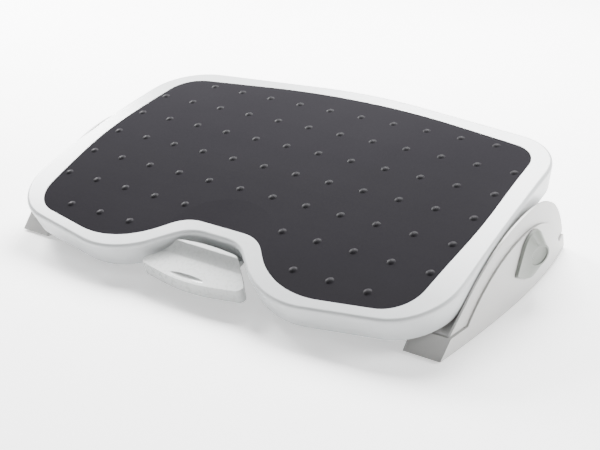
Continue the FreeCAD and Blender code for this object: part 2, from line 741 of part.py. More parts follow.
def pedal_profile():
    """The pedal's pad seen from its end, as (y, z)."""
    back = PEDAL_REAR[1] + 4
    front = PEDAL_FRONT[1] - 4
    middle = ((PEDAL_CREASE_Y + PEDAL_RIDGE_Y) / 2, (PEDAL_TOP + PEDAL_RIDGE_TOP) / 2 - 1.2)
    steps = [(back, PEDAL_BOTTOM), (back, PEDAL_RIDGE_TOP), (PEDAL_RIDGE_Y, PEDAL_RIDGE_TOP),
             (middle, (PEDAL_CREASE_Y, PEDAL_TOP)), (front, PEDAL_FRONT_TOP)]
    return path_wire((front, PEDAL_BOTTOM), steps)


def foot_pedal():
    """The pedal: its pad in the notch, its arms, hubs and lever fork."""
    corners = mirrored(PEDAL_REAR, PEDAL_HALF, PEDAL_FRONT)
    pad = prism(rounded_wire(corners), -FAR, 0).common(side_prism(pedal_profile(), -FAR, FAR))
    hollow = prism(rounded_wire(corners, -PEDAL_WALL), -FAR, 0)
    hollow = hollow.common(side_prism(pedal_profile(), -FAR, FAR).translated(V(0, 0, -PEDAL_WALL)))
    pad = pad.cut(hollow)
    y, z = flattened(PEDAL_HINGE_Y, PEDAL_HINGE_Z)
    arms = box(-PEDAL_HUB_OUTER, PEDAL_HUB_OUTER, PEDAL_REAR[1] - 4, y, z - 3, z + 3)
    arms = arms.cut(box(-PEDAL_HUB_INNER, PEDAL_HUB_INNER, y - 9, y + 9, -FAR, FAR))
    pedal = tilted(pad.fuse(arms))
    for side in (-1, 1):
        x0 = min(side * PEDAL_HUB_INNER, side * PEDAL_HUB_OUTER)
        x1 = max(side * PEDAL_HUB_INNER, side * PEDAL_HUB_OUTER)
        pedal = pedal.fuse(rod(PEDAL_HUB_RADIUS, x0, x1, PEDAL_HINGE_Y, PEDAL_HINGE_Z))
        f0 = min(side * (SLIDER_HALF_WIDTH + 0.5), side * (PEDAL_HUB_INNER + 1))
        f1 = max(side * (SLIDER_HALF_WIDTH + 0.5), side * (PEDAL_HUB_INNER + 1))
        half = PEDAL_LINK_RADIUS
        lever = box(f0, f1, PEDAL_HINGE_Y - half, PEDAL_HINGE_Y + half, PEDAL_HINGE_Z, PEDAL_HINGE_Z + LEVER)
        lever = lever.fuse(rod(PEDAL_LINK_RADIUS, f0, f1, PEDAL_HINGE_Y, PEDAL_HINGE_Z + LEVER))
        lever = lever.fuse(rod(PEDAL_HUB_RADIUS, f0, f1, PEDAL_HINGE_Y, PEDAL_HINGE_Z))
        pedal = pedal.fuse(lever)
    pedal = pedal.cut(rod(PEDAL_PIN_RADIUS + RUNNING_CLEARANCE, -FAR, FAR, PEDAL_HINGE_Y, PEDAL_HINGE_Z))
    pedal = pedal.cut(rod(PEDAL_PIN_RADIUS, -FAR, FAR, PEDAL_HINGE_Y, PEDAL_HINGE_Z + LEVER))
    return pedal.removeSplitter()


def bowed(inner_x, inset):
    """The space from a plane at inner_x out to the bowed side face, less an inset."""
    x = SIDE_X - inset
    front = -140.0
    rear = 170.0

    def bow(radius, y):
        r = radius - inset
        return x - r + math.sqrt(r * r - (y - SIDE_VERTEX_Y) ** 2)

    half_front = (front + SIDE_VERTEX_Y) / 2
    half_rear = (rear + SIDE_VERTEX_Y) / 2
    vertex = (x, SIDE_VERTEX_Y)
    steps = [(bow(SIDE_FRONT_BOW, front), front),
             ((bow(SIDE_FRONT_BOW, half_front), half_front), vertex),
             ((bow(SIDE_REAR_BOW, half_rear), half_rear), (bow(SIDE_REAR_BOW, rear), rear)),
             (inner_x, rear)]
    return prism(path_wire((inner_x, front), steps), 0.0, 120.0)


def arch_steps(peak, front_radius, rear_radius, start_y, end_y):
    """Two arcs over a peak where both are level, from start_y to end_y, and their first point."""

    def height(radius, y):
        return peak[1] - radius + math.sqrt(radius * radius - (y - peak[0]) ** 2)

    middle_front = (start_y + peak[0]) / 2
    middle_rear = (end_y + peak[0]) / 2
    first = (start_y, height(front_radius, start_y))
    rise = ((middle_front, height(front_radius, middle_front)), peak)
    fall = ((middle_rear, height(rear_radius, middle_rear)), (end_y, height(rear_radius, end_y)))
    return first, rise, fall


def reach_at(peak, radius, z):
    """How far from its peak an arc comes down to height z."""
    drop = peak[1] - z
    return math.sqrt(2 * radius * drop - drop * drop)


def base_outline():
    """The base seen from the side: foot, seam, arch and heel."""
    start = BASE_ARCH_PEAK[0] - reach_at(BASE_ARCH_PEAK, BASE_ARCH_FRONT, FOOT_TOP_Z)
    end = BASE_ARCH_PEAK[0] + reach_at(BASE_ARCH_PEAK, BASE_ARCH_REAR, FOOT_TOP_Z)
    first, rise, fall = arch_steps(BASE_ARCH_PEAK, BASE_ARCH_FRONT, BASE_ARCH_REAR, start, end)
    return path_wire((FOOT_FRONT_Y, SOLE_UNDER), [(FOOT_REAR_Y, SOLE_UNDER), (FOOT_REAR_TOP_Y, FOOT_TOP_Z),
                                                  fall[1], (fall[0], rise[1]), (rise[0], first),
                                                  (FOOT_FRONT_TOP_Y, FOOT_TOP_Z)])


def base_shell():
    """The right hand base: its sole, outer panel and two foot blocks."""
    body = bowed(BASE_INNER_X, 0.0).common(side_prism(base_outline(), 0.0, FAR))
    tub = bowed(0.0, PANEL).common(box(0, FAR, TUB_FRONT_Y, TUB_REAR_Y, SOLE_TOP, FAR))
    body = body.cut(tub)
    for y in POST_YS:
        body = body.fuse(pillar(POST_RADIUS + POST_WALL, POST_X, y, SOLE_UNDER, SOLE_TOP + POST_BOSS))
        body = body.cut(pillar(POST_RADIUS, POST_X, y, 0, FAR))
    seat = rod(KNOB_SEAT_RADIUS, SIDE_X - 20, KNOB_SEAT_X, KNOB_Y, KNOB_Z).cut(bowed(0.0, PANEL))
    body = body.fuse(seat)
    body = body.cut(rod(KNOB_BUSH_RADIUS, BASE_INNER_X, FAR, KNOB_Y, KNOB_Z))
    for y in FOOT_PAD_YS:
        body = body.cut(foot_pad(FOOT_PAD_X, y))
    for y, z in cover_fixings() + rail_fixings():
        body = body.cut(screw_hole(V(BASE_INNER_X - 1, y, z), X_AXIS, SCREW_LENGTH + 1))
    return body.removeSplitter()


def cover_fixings():
    """The screws of an inner cover, as (y, z)."""
    z = (SOLE_UNDER + FOOT_TOP_Z) / 2
    return [(FOOT_FRONT_TOP_Y + 4, z), (TUB_FRONT_Y - 6, z)]


def rail_fixings():
    """The screws of one end of the cross rail, as (y, z)."""
    z = RAIL_LIFT + RAIL_HEIGHT / 2
    reach = RAIL_DEPTH / 2 - RAIL_SHEET - SCREW_HEAD_RADIUS - HEAD_CLEARANCE
    return [(RAIL_Y - reach, z), (RAIL_Y + reach, z)]


def foot_pad(x, y):
    """One rubber foot."""
    half_x = FOOT_PAD[0] / 2
    half_y = FOOT_PAD[1] / 2
    r = FOOT_PAD_ROUND
    corners = [(x - half_x, y - half_y, r), (x + half_x, y - half_y, r), (x + half_x, y + half_y, r),
               (x - half_x, y + half_y, r)]
    return prism(rounded_wire(corners), 0.0, SOLE_UNDER + FOOT_PAD_RECESS)


def inner_cover():
    """The right hand inner cover, with an ear round the knob shaft."""
    x0 = BASE_INNER_X - INNER_COVER
    peak = (BASE_ARCH_PEAK[0], COVER_ARCH_PEAK_Z)
    rise_y = TUB_FRONT_Y
    fall_y = TUB_REAR_Y
    drop = COVER_ARCH_PEAK_Z - FOOT_TOP_Z
    front_radius = ((peak[0] - rise_y) ** 2 + drop ** 2) / (2 * drop)
    rear_radius = ((fall_y - peak[0]) ** 2 + drop ** 2) / (2 * drop)
    first, rise, fall = arch_steps(peak, front_radius, rear_radius, rise_y, fall_y)
    wire = path_wire((FOOT_FRONT_Y, SOLE_UNDER), [(FOOT_REAR_Y, SOLE_UNDER), (FOOT_REAR_TOP_Y, FOOT_TOP_Z),
                                                  fall[1], (fall[0], rise[1]), (rise[0], first),
                                                  (FOOT_FRONT_TOP_Y, FOOT_TOP_Z)])
    cover = side_prism(wire, x0, BASE_INNER_X).fuse(rod(COVER_EAR, x0, BASE_INNER_X, KNOB_Y, KNOB_Z))
    cover = cover.cut(rod(KNOB_SHAFT_RADIUS + RUNNING_CLEARANCE, x0 - 1, BASE_INNER_X + 1, KNOB_Y, KNOB_Z))
    for y, z in cover_fixings() + rail_fixings():
        cover = cover.cut(screw_hole(V(x0 - 1, y, z), X_AXIS, INNER_COVER + 2))
    return cover.removeSplitter()


def guide_post(y):
    """A steel post of the height slide."""
    post = pillar(POST_RADIUS, POST_X, y, SOLE_UNDER + 0.5, POST_TOP)
    rim = max(post.Edges, key=lambda e: e.CenterOfMass.z)
    return post.makeChamfer(0.8, [rim])


def slide_bush(y):
    """The bush in an arm that runs on a post."""
    bush = pillar(SLIDE_BUSH_RADIUS, POST_X, y, SLIDE_BUSH_Z, SLIDE_BUSH_Z + SLIDE_BUSH_LENGTH)
    return bush.cut(pillar(POST_RADIUS + RUNNING_CLEARANCE, POST_X, y, 0, FAR))


def arm_outline():
    """The arm's outer skin seen from the side."""
    under = FOOT_TOP_Z + GROOVE
    start = ARM_ARCH_PEAK[0] - 123.0
    end = ARM_ARCH_PEAK[0] + 109.0
    first, rise, fall = arch_steps(ARM_ARCH_PEAK, ARM_ARCH_FRONT, ARM_ARCH_REAR, start, end)
    front = TUB_FRONT_Y + 2
    rear = TUB_REAR_Y - 2
    return path_wire((front, ARM_UNDER), [(rear, ARM_UNDER), (rear, under), (ARM_HEEL_Y, under), fall[1],
                                          (fall[0], rise[1]), (rise[0], first), (ARM_TOE_Y, under),
                                          (front, under)])


def arm_section(tall, shrink, low):
    """The arm's box seen from the side: the tall part under the platform, or the low part under its rim."""
    under = FOOT_TOP_Z + GROOVE
    front = TUB_FRONT_Y + 2
    rear = TUB_REAR_Y - 2
    foot = [(front, low, 0), (rear, low, 0), (rear, under, 0), (ARM_HEEL_Y, under, 2),
            (ARM_HEEL_Y - 6, under + 12, 4)]
    if tall:
        top = [(102.0, 44.0, 6), (74.0, ARM_BOX_TOP, 6), (-52.0, ARM_BOX_TOP, 12), (-97.0, 22.5, 4)]
    else:
        top = [(98.0, 49.0, 12), (4.0, 52.0, 20), (-70.0, 31.5, 20), (-101.5, 20.9, 0)]
    toe = [(ARM_TOE_Y, under, 0), (front, under, 0)]
    return rounded_wire(foot + top + toe, -shrink)


def arm():
    """The right hand arm: box, skin, shaft boss, turrets and rack rib."""
    skin = bowed(0.0, SKIN_INSET).cut(bowed(0.0, SKIN_INSET + ARM_WALL))
    skin = skin.common(side_prism(arm_outline(), 0.0, FAR))
    full = bowed(0.0, SKIN_INSET + ARM_WALL / 2)
    block = side_prism(arm_section(True, 0.0, ARM_UNDER), ARM_INNER_X, ARM_STEP_X)
    block = block.fuse(side_prism(arm_section(False, 0.0, ARM_UNDER), ARM_STEP_X - 1, FAR).common(full))
    hollow = side_prism(arm_section(True, ARM_WALL, -FAR), ARM_INNER_X + ARM_WALL, ARM_STEP_X - ARM_WALL)
    low_room = side_prism(arm_section(False, ARM_WALL, -FAR), ARM_INNER_X + ARM_WALL, FAR)
    low_room = low_room.common(bowed(0.0, SKIN_INSET + ARM_WALL))
    body = block.cut(hollow.fuse(low_room)).fuse(skin)
    boss_end = SHAFT_HALF_LENGTH - CLIP_REACH - CLIP_PLAY
    rib_top = ARM_BOX_TOP - 1
    boss = rod(SHAFT_RADIUS + BOSS_WALL, ARM_INNER_X, boss_end, SHAFT_Y, SHAFT_Z)
    rib = box(ARM_INNER_X, ARM_STEP_X - 1, rack_back_y() - RACK_RIB, rack_back_y(), ARM_UNDER, rib_top)
    boss_rib = box(ARM_INNER_X, boss_end, SHAFT_Y - BOSS_RIB / 2, SHAFT_Y + BOSS_RIB / 2, SHAFT_Z, rib_top)
    body = body.fuse([boss, rib, boss_rib])
    for y in POST_YS:
        body = body.fuse(pillar(TURRET_RADIUS, POST_X, y, SLIDE_BUSH_Z, rib_top))
        seat_top = SLIDE_BUSH_Z + SLIDE_BUSH_LENGTH
        body = body.cut(pillar(SLIDE_BUSH_RADIUS, POST_X, y, SLIDE_BUSH_Z - 1, seat_top))
        body = body.cut(pillar(POST_RADIUS + POST_ROOM, POST_X, y, 0, ARM_BOX_TOP - ARM_WALL))
    body = body.cut(rod(SHAFT_RADIUS, 0, FAR - 40, SHAFT_Y, SHAFT_Z).common(box(0, 260, -FAR, FAR, 0, FAR)))
    half = KNOB_BUSH_RADIUS + KNOB_SLOT_CLEARANCE
    slot = box(0, FAR, KNOB_Y - half, KNOB_Y + half, 0, KNOB_Z).fuse(rod(half, 0, FAR, KNOB_Y, KNOB_Z))
    body = body.cut(slot)
    for z in rack_screw_zs():
        start = V(rack_x(), rack_back_y() - RACK_RIB - 1, z)
        body = body.cut(screw_hole(start, Y_AXIS, RACK_RIB + 2))
    rim_pass = box(RIM_PASS_X, RIM_PASS_X + RIM_PASS_WIDTH, TUB_FRONT_Y, TUB_REAR_Y, RIM_PASS_Z, FAR)
    return body.cut(rim_pass).removeSplitter()


def rack_back_y():
    """The face of the arm's rib that the rack is screwed to."""
    return KNOB_Y - PITCH_RADIUS - GEAR_DEDENDUM - RACK_BACK


def rack_x():
    """The middle of the rack's width."""
    return GEAR_X + GEAR_WIDTH / 2


def rack_screw_zs():
    """The heights of the rack's two screws."""
    return (ARM_UNDER + 8, ARM_BOX_TOP - 26)


def tooth_half(radius, base_radius):
    """Half the angle that a pinion tooth takes at a radius, less its share of the backlash."""
    def involute(a):
        return math.tan(a) - a

    at_pitch = (math.pi / PINION_TEETH) / 2 - GEAR_BACKLASH / (4 * PITCH_RADIUS)
    angle = math.acos(min(1.0, base_radius / radius))
    return at_pitch + involute(math.radians(PRESSURE_ANGLE)) - involute(angle)


def pinion():
    """The right hand pinion, with a tooth space towards the rack."""
    base_radius = PITCH_RADIUS * math.cos(math.radians(PRESSURE_ANGLE))
    root = PITCH_RADIUS - GEAR_DEDENDUM
    tip = PITCH_RADIUS + GEAR_ADDENDUM
    start = max(root + 0.3, base_radius)
    radii = [start, tip]
    points = []
    for tooth in range(PINION_TEETH):
        middle = math.pi + (tooth + 0.5) * 2 * math.pi / PINION_TEETH
        rising = [(root, -tooth_half(start, base_radius))]
        rising = rising + [(r, -tooth_half(r, base_radius)) for r in radii]
        falling = [(r, -a) for r, a in reversed(rising)]
        for r, a in rising + falling:
            points.append(V(KNOB_Y + r * math.cos(middle + a), KNOB_Z + r * math.sin(middle + a), 0))
    wire = Part.makePolygon(points + [points[0]])
    gear = side_prism(wire, GEAR_X, GEAR_X + GEAR_WIDTH)
    return gear.cut(rod(KNOB_SHAFT_RADIUS, 0, FAR, KNOB_Y, KNOB_Z))


def rack():
    """The right hand rack, with a tooth centred on the pinion."""
    lean = math.tan(math.radians(PRESSURE_ANGLE))
    pitch_y = KNOB_Y - PITCH_RADIUS
    half = GEAR_PITCH / 4 - GEAR_BACKLASH / 4
    low = KNOB_Z - HEIGHT_TRAVEL - 1.0
    high = KNOB_Z + GEAR_PITCH * 1.5
    points = [(rack_back_y(), high), (rack_back_y(), low)]
    first = -int((KNOB_Z - low) / GEAR_PITCH - 0.4)
    last = int((high - KNOB_Z) / GEAR_PITCH + 0.1)
    points.append((pitch_y - GEAR_DEDENDUM, low))
    for k in range(first, last + 1):
        z = KNOB_Z + k * GEAR_PITCH
        flank = [(-GEAR_DEDENDUM, half + GEAR_DEDENDUM * lean), (GEAR_ADDENDUM, half - GEAR_ADDENDUM * lean)]
        for y, h in flank:
            points.append((pitch_y + y, z - h))
        for y, h in reversed(flank):
            points.append((pitch_y + y, z + h))
    points.append((pitch_y - GEAR_DEDENDUM, high))
    wire = Part.makePolygon([V(y, z, 0) for y, z in points + [points[0]]])
    body = side_prism(wire, GEAR_X, GEAR_X + GEAR_WIDTH)
    for z in rack_screw_zs():
        start = V(rack_x(), rack_back_y(), z)
        body = body.cut(screw_hole(start, Y_AXIS, SCREW_LENGTH - RACK_RIB))
    return body


def rack_screw(z):
    """A screw through the arm's rib into the rack."""
    turned = screw()
    turned.rotate(ORIGIN, X_AXIS, -90)
    return turned.translated(V(rack_x(), rack_back_y() - RACK_RIB, z))


def knob_shaft():
    """The right hand knob shaft, with a clip groove inside the inner cover."""
    shaft = rod(KNOB_SHAFT_RADIUS, knob_clip_x() - 1.5, KNOB_BASE_X + KNOB_SHAFT_BITE, KNOB_Y, KNOB_Z)
    return shaft.cut(clip_groove(KNOB_SHAFT_RADIUS, knob_clip_x(), KNOB_Y, KNOB_Z))


def knob_clip_x():
    """The inner face of the clip on the knob shaft."""
    return BASE_INNER_X - INNER_COVER - CLIP_THICKNESS - CLIP_PLAY


def knob_bush():
    """The right hand bush of the knob shaft in the outer panel."""
    bush = rod(KNOB_BUSH_RADIUS, KNOB_SEAT_X - KNOB_BUSH_LENGTH, KNOB_SEAT_X, KNOB_Y, KNOB_Z)
    return bush.cut(rod(KNOB_SHAFT_RADIUS + RUNNING_CLEARANCE, 0, FAR, KNOB_Y, KNOB_Z))


def drop_point(radius, tip, tip_round, angle):
    """A point on a drop outline round the origin, its tip along the first axis."""
    reach = tip - tip_round
    lean = math.acos((radius - tip_round) / reach)
    if abs(angle) >= lean:
        return radius * math.cos(angle), radius * math.sin(angle)
    share = angle / lean
    if abs(share) > KNOB_TIP_SHARE:
        side = 1 if angle > 0 else -1
        along = (abs(share) - KNOB_TIP_SHARE) / (1 - KNOB_TIP_SHARE)
        near = (reach + tip_round * math.cos(lean), tip_round * math.sin(lean))
        far = (radius * math.cos(lean), radius * math.sin(lean))
        return near[0] + (far[0] - near[0]) * along, side * (near[1] + (far[1] - near[1]) * along)
    turn = lean * share / KNOB_TIP_SHARE
    return reach + tip_round * math.cos(turn), tip_round * math.sin(turn)


def knob():
    """The right hand knob: a drop shaped base that rises to a leaning round face with a dish."""
    lean = math.radians(KNOB_FACE_LEAN)
    down = math.radians(KNOB_TIP_DOWN)
    tipward = V(0, -math.cos(down), -math.sin(down))
    across = X_AXIS.cross(tipward)
    middle = V(KNOB_BASE_X, KNOB_Y, KNOB_Z)
    normal = X_AXIS * math.cos(lean) + tipward * math.sin(lean)
    slope = tipward * math.cos(lean) - X_AXIS * math.sin(lean)
    face = middle + X_AXIS * KNOB_FACE_X
    rings = [[], [], []]
    for k in range(KNOB_SIDES):
        angle = 2 * math.pi * (k + 0.5) / KNOB_SIDES
        if angle > math.pi:
            angle = angle - 2 * math.pi
        u, v = drop_point(KNOB_RADIUS, KNOB_TIP, KNOB_TIP_ROUND, angle)
        rings[0].append(middle + tipward * u + across * v)
        u, v = drop_point(KNOB_RADIUS - KNOB_FLANK, KNOB_TIP - KNOB_FLANK, KNOB_TIP_ROUND, angle)
        rings[1].append(middle + X_AXIS * KNOB_FLANK_X + tipward * u + across * v)
        rings[2].append(face + (slope * math.cos(angle) + across * math.sin(angle)) * KNOB_FACE_RADIUS)
    faces = [Part.Face(Part.makePolygon(ring + [ring[0]])) for ring in (rings[0], rings[2])]
    for low, high in ((rings[0], rings[1]), (rings[1], rings[2])):
        for k in range(KNOB_SIDES):
            n = (k + 1) % KNOB_SIDES
            faces.append(Part.Face(Part.makePolygon([low[k], low[n], high[n], low[k]])))
            faces.append(Part.Face(Part.makePolygon([low[k], high[n], high[k], low[k]])))
    body = Part.Solid(Part.Shell(faces))
    if body.Volume < 0:
        body.reverse()
    dish_floor = face - normal * KNOB_DISH_DEPTH
    body = body.cut(Part.makeCylinder(KNOB_DISH_RADIUS, FAR, dish_floor, normal))
    return body.cut(rod(KNOB_SHAFT_RADIUS, 0, KNOB_BASE_X + KNOB_SHAFT_BITE, KNOB_Y, KNOB_Z))


def cross_rail():
    """The steel channel that ties the two bases together at the rear."""
    end = BASE_INNER_X - INNER_COVER
    half = RAIL_DEPTH / 2
    top = RAIL_LIFT + RAIL_HEIGHT
    rail = box(-end, end, RAIL_Y - half, RAIL_Y + half, RAIL_LIFT, top)
    room = half - RAIL_SHEET
    inner = box(-end + RAIL_SHEET, end - RAIL_SHEET, RAIL_Y - room, RAIL_Y + room, 0, top - RAIL_SHEET)
    rail = rail.cut(inner)
    for y, z in rail_fixings():
        rail = rail.cut(screw_hole(V(-FAR, y, z), X_AXIS, 2 * FAR))
    return rail


def build():
    """Every node by name, in the stored pose."""
    nodes = {}
    right = {
        "base_shell": base_shell(), "inner_cover": inner_cover(), "knob_bush": knob_bush(),
        "knob": knob(), "knob_shaft": knob_shaft(), "pinion": pinion(),
        "knob_clip": clip(KNOB_SHAFT_RADIUS, knob_clip_x(), KNOB_Y, KNOB_Z), "arm": arm(), "rack": rack(),
    }
    for name, shape in right.items():
        nodes[name + "_right"] = shape
        nodes[name + "_left"] = left_of(shape)
    cover_x = BASE_INNER_X - INNER_COVER
    nodes["guide_posts"] = group([both(guide_post(y)) for y in POST_YS])
    nodes["rubber_feet"] = group([both(foot_pad(FOOT_PAD_X, y)) for y in FOOT_PAD_YS])
    nodes["cross_rail"] = cross_rail()
    nodes["cover_screws"] = group([both(screw_out(cover_x, y, z)) for y, z in cover_fixings()])
    nodes["rail_screws"] = group([both(screw_out(cover_x - RAIL_SHEET, y, z)) for y, z in rail_fixings()])
    nodes["slide_bushes"] = group([both(slide_bush(y)) for y in POST_YS])
    nodes["rack_screws"] = group([both(rack_screw(z)) for z in rack_screw_zs()])
    nodes["tilt_shaft"] = tilt_shaft()
    nodes["shaft_clips"] = both(clip(SHAFT_RADIUS, SHAFT_HALF_LENGTH - CLIP_REACH, SHAFT_Y, SHAFT_Z))
    nodes["brake_drum"] = brake_drum()
    nodes["platform_shell"] = platform_shell()
    nodes["foot_mat"] = foot_mat()
    nodes["tilt_bushes"] = both(tilt_bush())
    nodes["bearing_caps"] = both(bearing_cap())
    cap_seat = SHAFT_Z - RUNNING_CLEARANCE - CAP_DROP
    nodes["bearing_cap_screws"] = group([both(screw_up(BEARING_X, y, cap_seat, CAP_DROP + 5))
                                         for y in cap_screw_ys()])
    nodes["guide_plate"] = guide_plate()
    plate_seat = SHAFT_Z - SLIDER_HEIGHT / 2 - SLIDER_GAP - GUIDE_PLATE
    nodes["guide_plate_screws"] = group([screw_up(x, y, plate_seat, GUIDE_PLATE + GUIDE_WALL - 0.5)
                                         for x, y in guide_screw_places()])
    nodes["mechanism_cover"] = mechanism_cover()
    cover_seat = cover_top_z() - COVER_DROP
    nodes["mechanism_cover_screws"] = group([screw_up(x, y, cover_seat, COVER_DROP + 5)
                                             for x, y in cover_screw_places()])
    pin_end = EAR_X + EAR_THICKNESS
    nodes["pedal_hinge_pin"] = rod(PEDAL_PIN_RADIUS, -pin_end, pin_end, PEDAL_HINGE_Y, PEDAL_HINGE_Z)
    nodes["lock_spring"] = lock_spring()
    nodes["foot_pedal"] = foot_pedal()
    nodes["pedal_link_pin"] = rod(PEDAL_PIN_RADIUS, -PEDAL_HUB_INNER - 1, PEDAL_HUB_INNER + 1, PEDAL_HINGE_Y,
                                  PEDAL_HINGE_Z + LEVER)
    nodes["lock_slider"] = lock_slider()
    nodes["brake_shoe"] = brake_shoe()
    nodes["brake_lining"] = brake_lining()
    return nodes


def main():
    """Centre the footrest on its own length, and write each node."""
    os.makedirs("parts", exist_ok=True)
    nodes = build()
    bounds = Part.makeCompound(list(nodes.values())).optimalBoundingBox(False, False)
    shift = V(0, -(bounds.YMin + bounds.YMax) / 2, 0)
    for name, shape in nodes.items():
        shape.translate(shift)
        shape.exportStep("parts/" + name + ".step")
        solids = shape.Solids
        print(name, len(solids), "solids", round(shape.Volume / 1000, 2), "cm3", shape.isValid())
    print("box", round(bounds.XLength, 1), round(bounds.YLength, 1), round(bounds.ZLength, 1),
          "lowest", round(bounds.ZMin, 2))
    print("shift_y", round(shift.y, 4))


main()
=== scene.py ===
"""The looks of the tilting under desk footrest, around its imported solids.

The footrest is dressed one sub-assembly at a time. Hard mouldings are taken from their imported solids, cleaned
and given the small rounds that a mould leaves. The mat gets domed studs. Every finish is procedural and reads
Object coordinates. Places and sizes are in metres in the part's frame: X to the right, Y to the rear, Z up.
"""
from __future__ import annotations

import json
import logging
import math
from dataclasses import dataclass
from dataclasses import field
from enum import Enum
from typing import Any
from typing import Callable
from typing import Sequence
from typing import Union

import bpy
from mathutils import Matrix
from mathutils import Vector

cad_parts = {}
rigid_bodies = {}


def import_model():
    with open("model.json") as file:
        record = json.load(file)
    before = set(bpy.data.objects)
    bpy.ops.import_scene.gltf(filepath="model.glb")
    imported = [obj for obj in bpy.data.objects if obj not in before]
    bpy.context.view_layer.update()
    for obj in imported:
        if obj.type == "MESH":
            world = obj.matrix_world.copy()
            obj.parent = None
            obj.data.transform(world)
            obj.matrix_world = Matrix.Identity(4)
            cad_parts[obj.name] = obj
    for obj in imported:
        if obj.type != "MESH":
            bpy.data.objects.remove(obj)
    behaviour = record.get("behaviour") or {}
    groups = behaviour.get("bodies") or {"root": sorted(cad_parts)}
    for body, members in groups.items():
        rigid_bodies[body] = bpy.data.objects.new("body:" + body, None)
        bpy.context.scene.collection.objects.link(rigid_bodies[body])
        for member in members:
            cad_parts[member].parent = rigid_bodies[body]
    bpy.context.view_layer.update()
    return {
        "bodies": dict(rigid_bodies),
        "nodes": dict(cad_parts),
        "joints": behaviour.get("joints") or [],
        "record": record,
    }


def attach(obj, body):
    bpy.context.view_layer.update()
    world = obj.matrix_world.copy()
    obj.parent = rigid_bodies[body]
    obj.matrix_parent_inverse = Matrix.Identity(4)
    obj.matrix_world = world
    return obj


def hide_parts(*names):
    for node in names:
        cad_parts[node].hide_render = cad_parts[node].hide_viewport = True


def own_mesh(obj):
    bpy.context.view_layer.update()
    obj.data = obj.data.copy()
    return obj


LOG = logging.getLogger("footrest")
TILT = math.radians(14.5)
DECK_CENTRE = Vector((0.0, -0.010373, 0.087))
CROWN_RADIUS = 1.280
MERGE_DISTANCE = 0.000002
FLAT_ANGLE = math.radians(0.4)
FILM_WIDTH = 36.0
FILM_CLIP = 0.02
UP = Vector((0.0, 0.0, 1.0))
WHITE = (1.0, 1.0, 1.0, 1.0)
Colour = tuple[float, float, float]
FaceTest = Callable[[Vector, Vector], bool]


def on_platform(x: float, y: float, z: float) -> Vector:
    """Place a point of the platform's flat drawing at the stored tilt.

    Args:
        x: Place to the right, from the deck's centre.
        y: Place to the rear along the deck.
        z: Height above the deck's centre.

    Returns:
        The point in the part's frame.
    """
    return DECK_CENTRE + Matrix.Rotation(TILT, 3, "X") @ Vector((x, y, z))


def off_platform(point: Vector) -> Vector:
    """Find where a point of the tilted platform lies in its flat drawing.

    Args:
        point: A point in the part's frame.

    Returns:
        The point, measured from the deck's centre.
    """
    return Matrix.Rotation(-TILT, 3, "X") @ (point - DECK_CENTRE)


class Expression:
    """One socket of a shader, with arithmetic that adds Math nodes."""

    def __init__(self, graph: "Graph", socket: Any) -> None:
        """Keep the graph and the socket.

        Args:
            graph: The graph that the socket belongs to.
            socket: An output socket.
        """
        self.graph = graph
        self.socket = socket

    def _math(self, operation: str, first: "Value", second: "Value") -> "Expression":
        """Add one Math node.

        Args:
            operation: The node's operation.
            first: Its first value.
            second: Its second value.

        Returns:
            The node's result.
        """
        return self.graph.node("ShaderNodeMath", {"operation": operation}, {0: first, 1: second})

    def __add__(self, other: "Value") -> "Expression":
        """Add a value.

        Args:
            other: What is added.

        Returns:
            The sum.
        """
        return self._math("ADD", self, other)

    def __radd__(self, other: "Value") -> "Expression":
        """Add to a value.

        Args:
            other: What this is added to.

        Returns:
            The sum.
        """
        return self._math("ADD", other, self)

    def __sub__(self, other: "Value") -> "Expression":
        """Take a value away.

        Args:
            other: What is taken away.

        Returns:
            The difference.
        """
        return self._math("SUBTRACT", self, other)

    def __rsub__(self, other: "Value") -> "Expression":
        """Take this from a value.

        Args:
            other: What this is taken from.

        Returns:
            The difference.
        """
        return self._math("SUBTRACT", other, self)

    def __mul__(self, other: "Value") -> "Expression":
        """Multiply by a value.

        Args:
            other: The factor.

        Returns:
            The product.
        """
        return self._math("MULTIPLY", self, other)

    def __rmul__(self, other: "Value") -> "Expression":
        """Multiply a value.

        Args:
            other: What this multiplies.

        Returns:
            The product.
        """
        return self._math("MULTIPLY", other, self)


Value = Union[Expression, float]


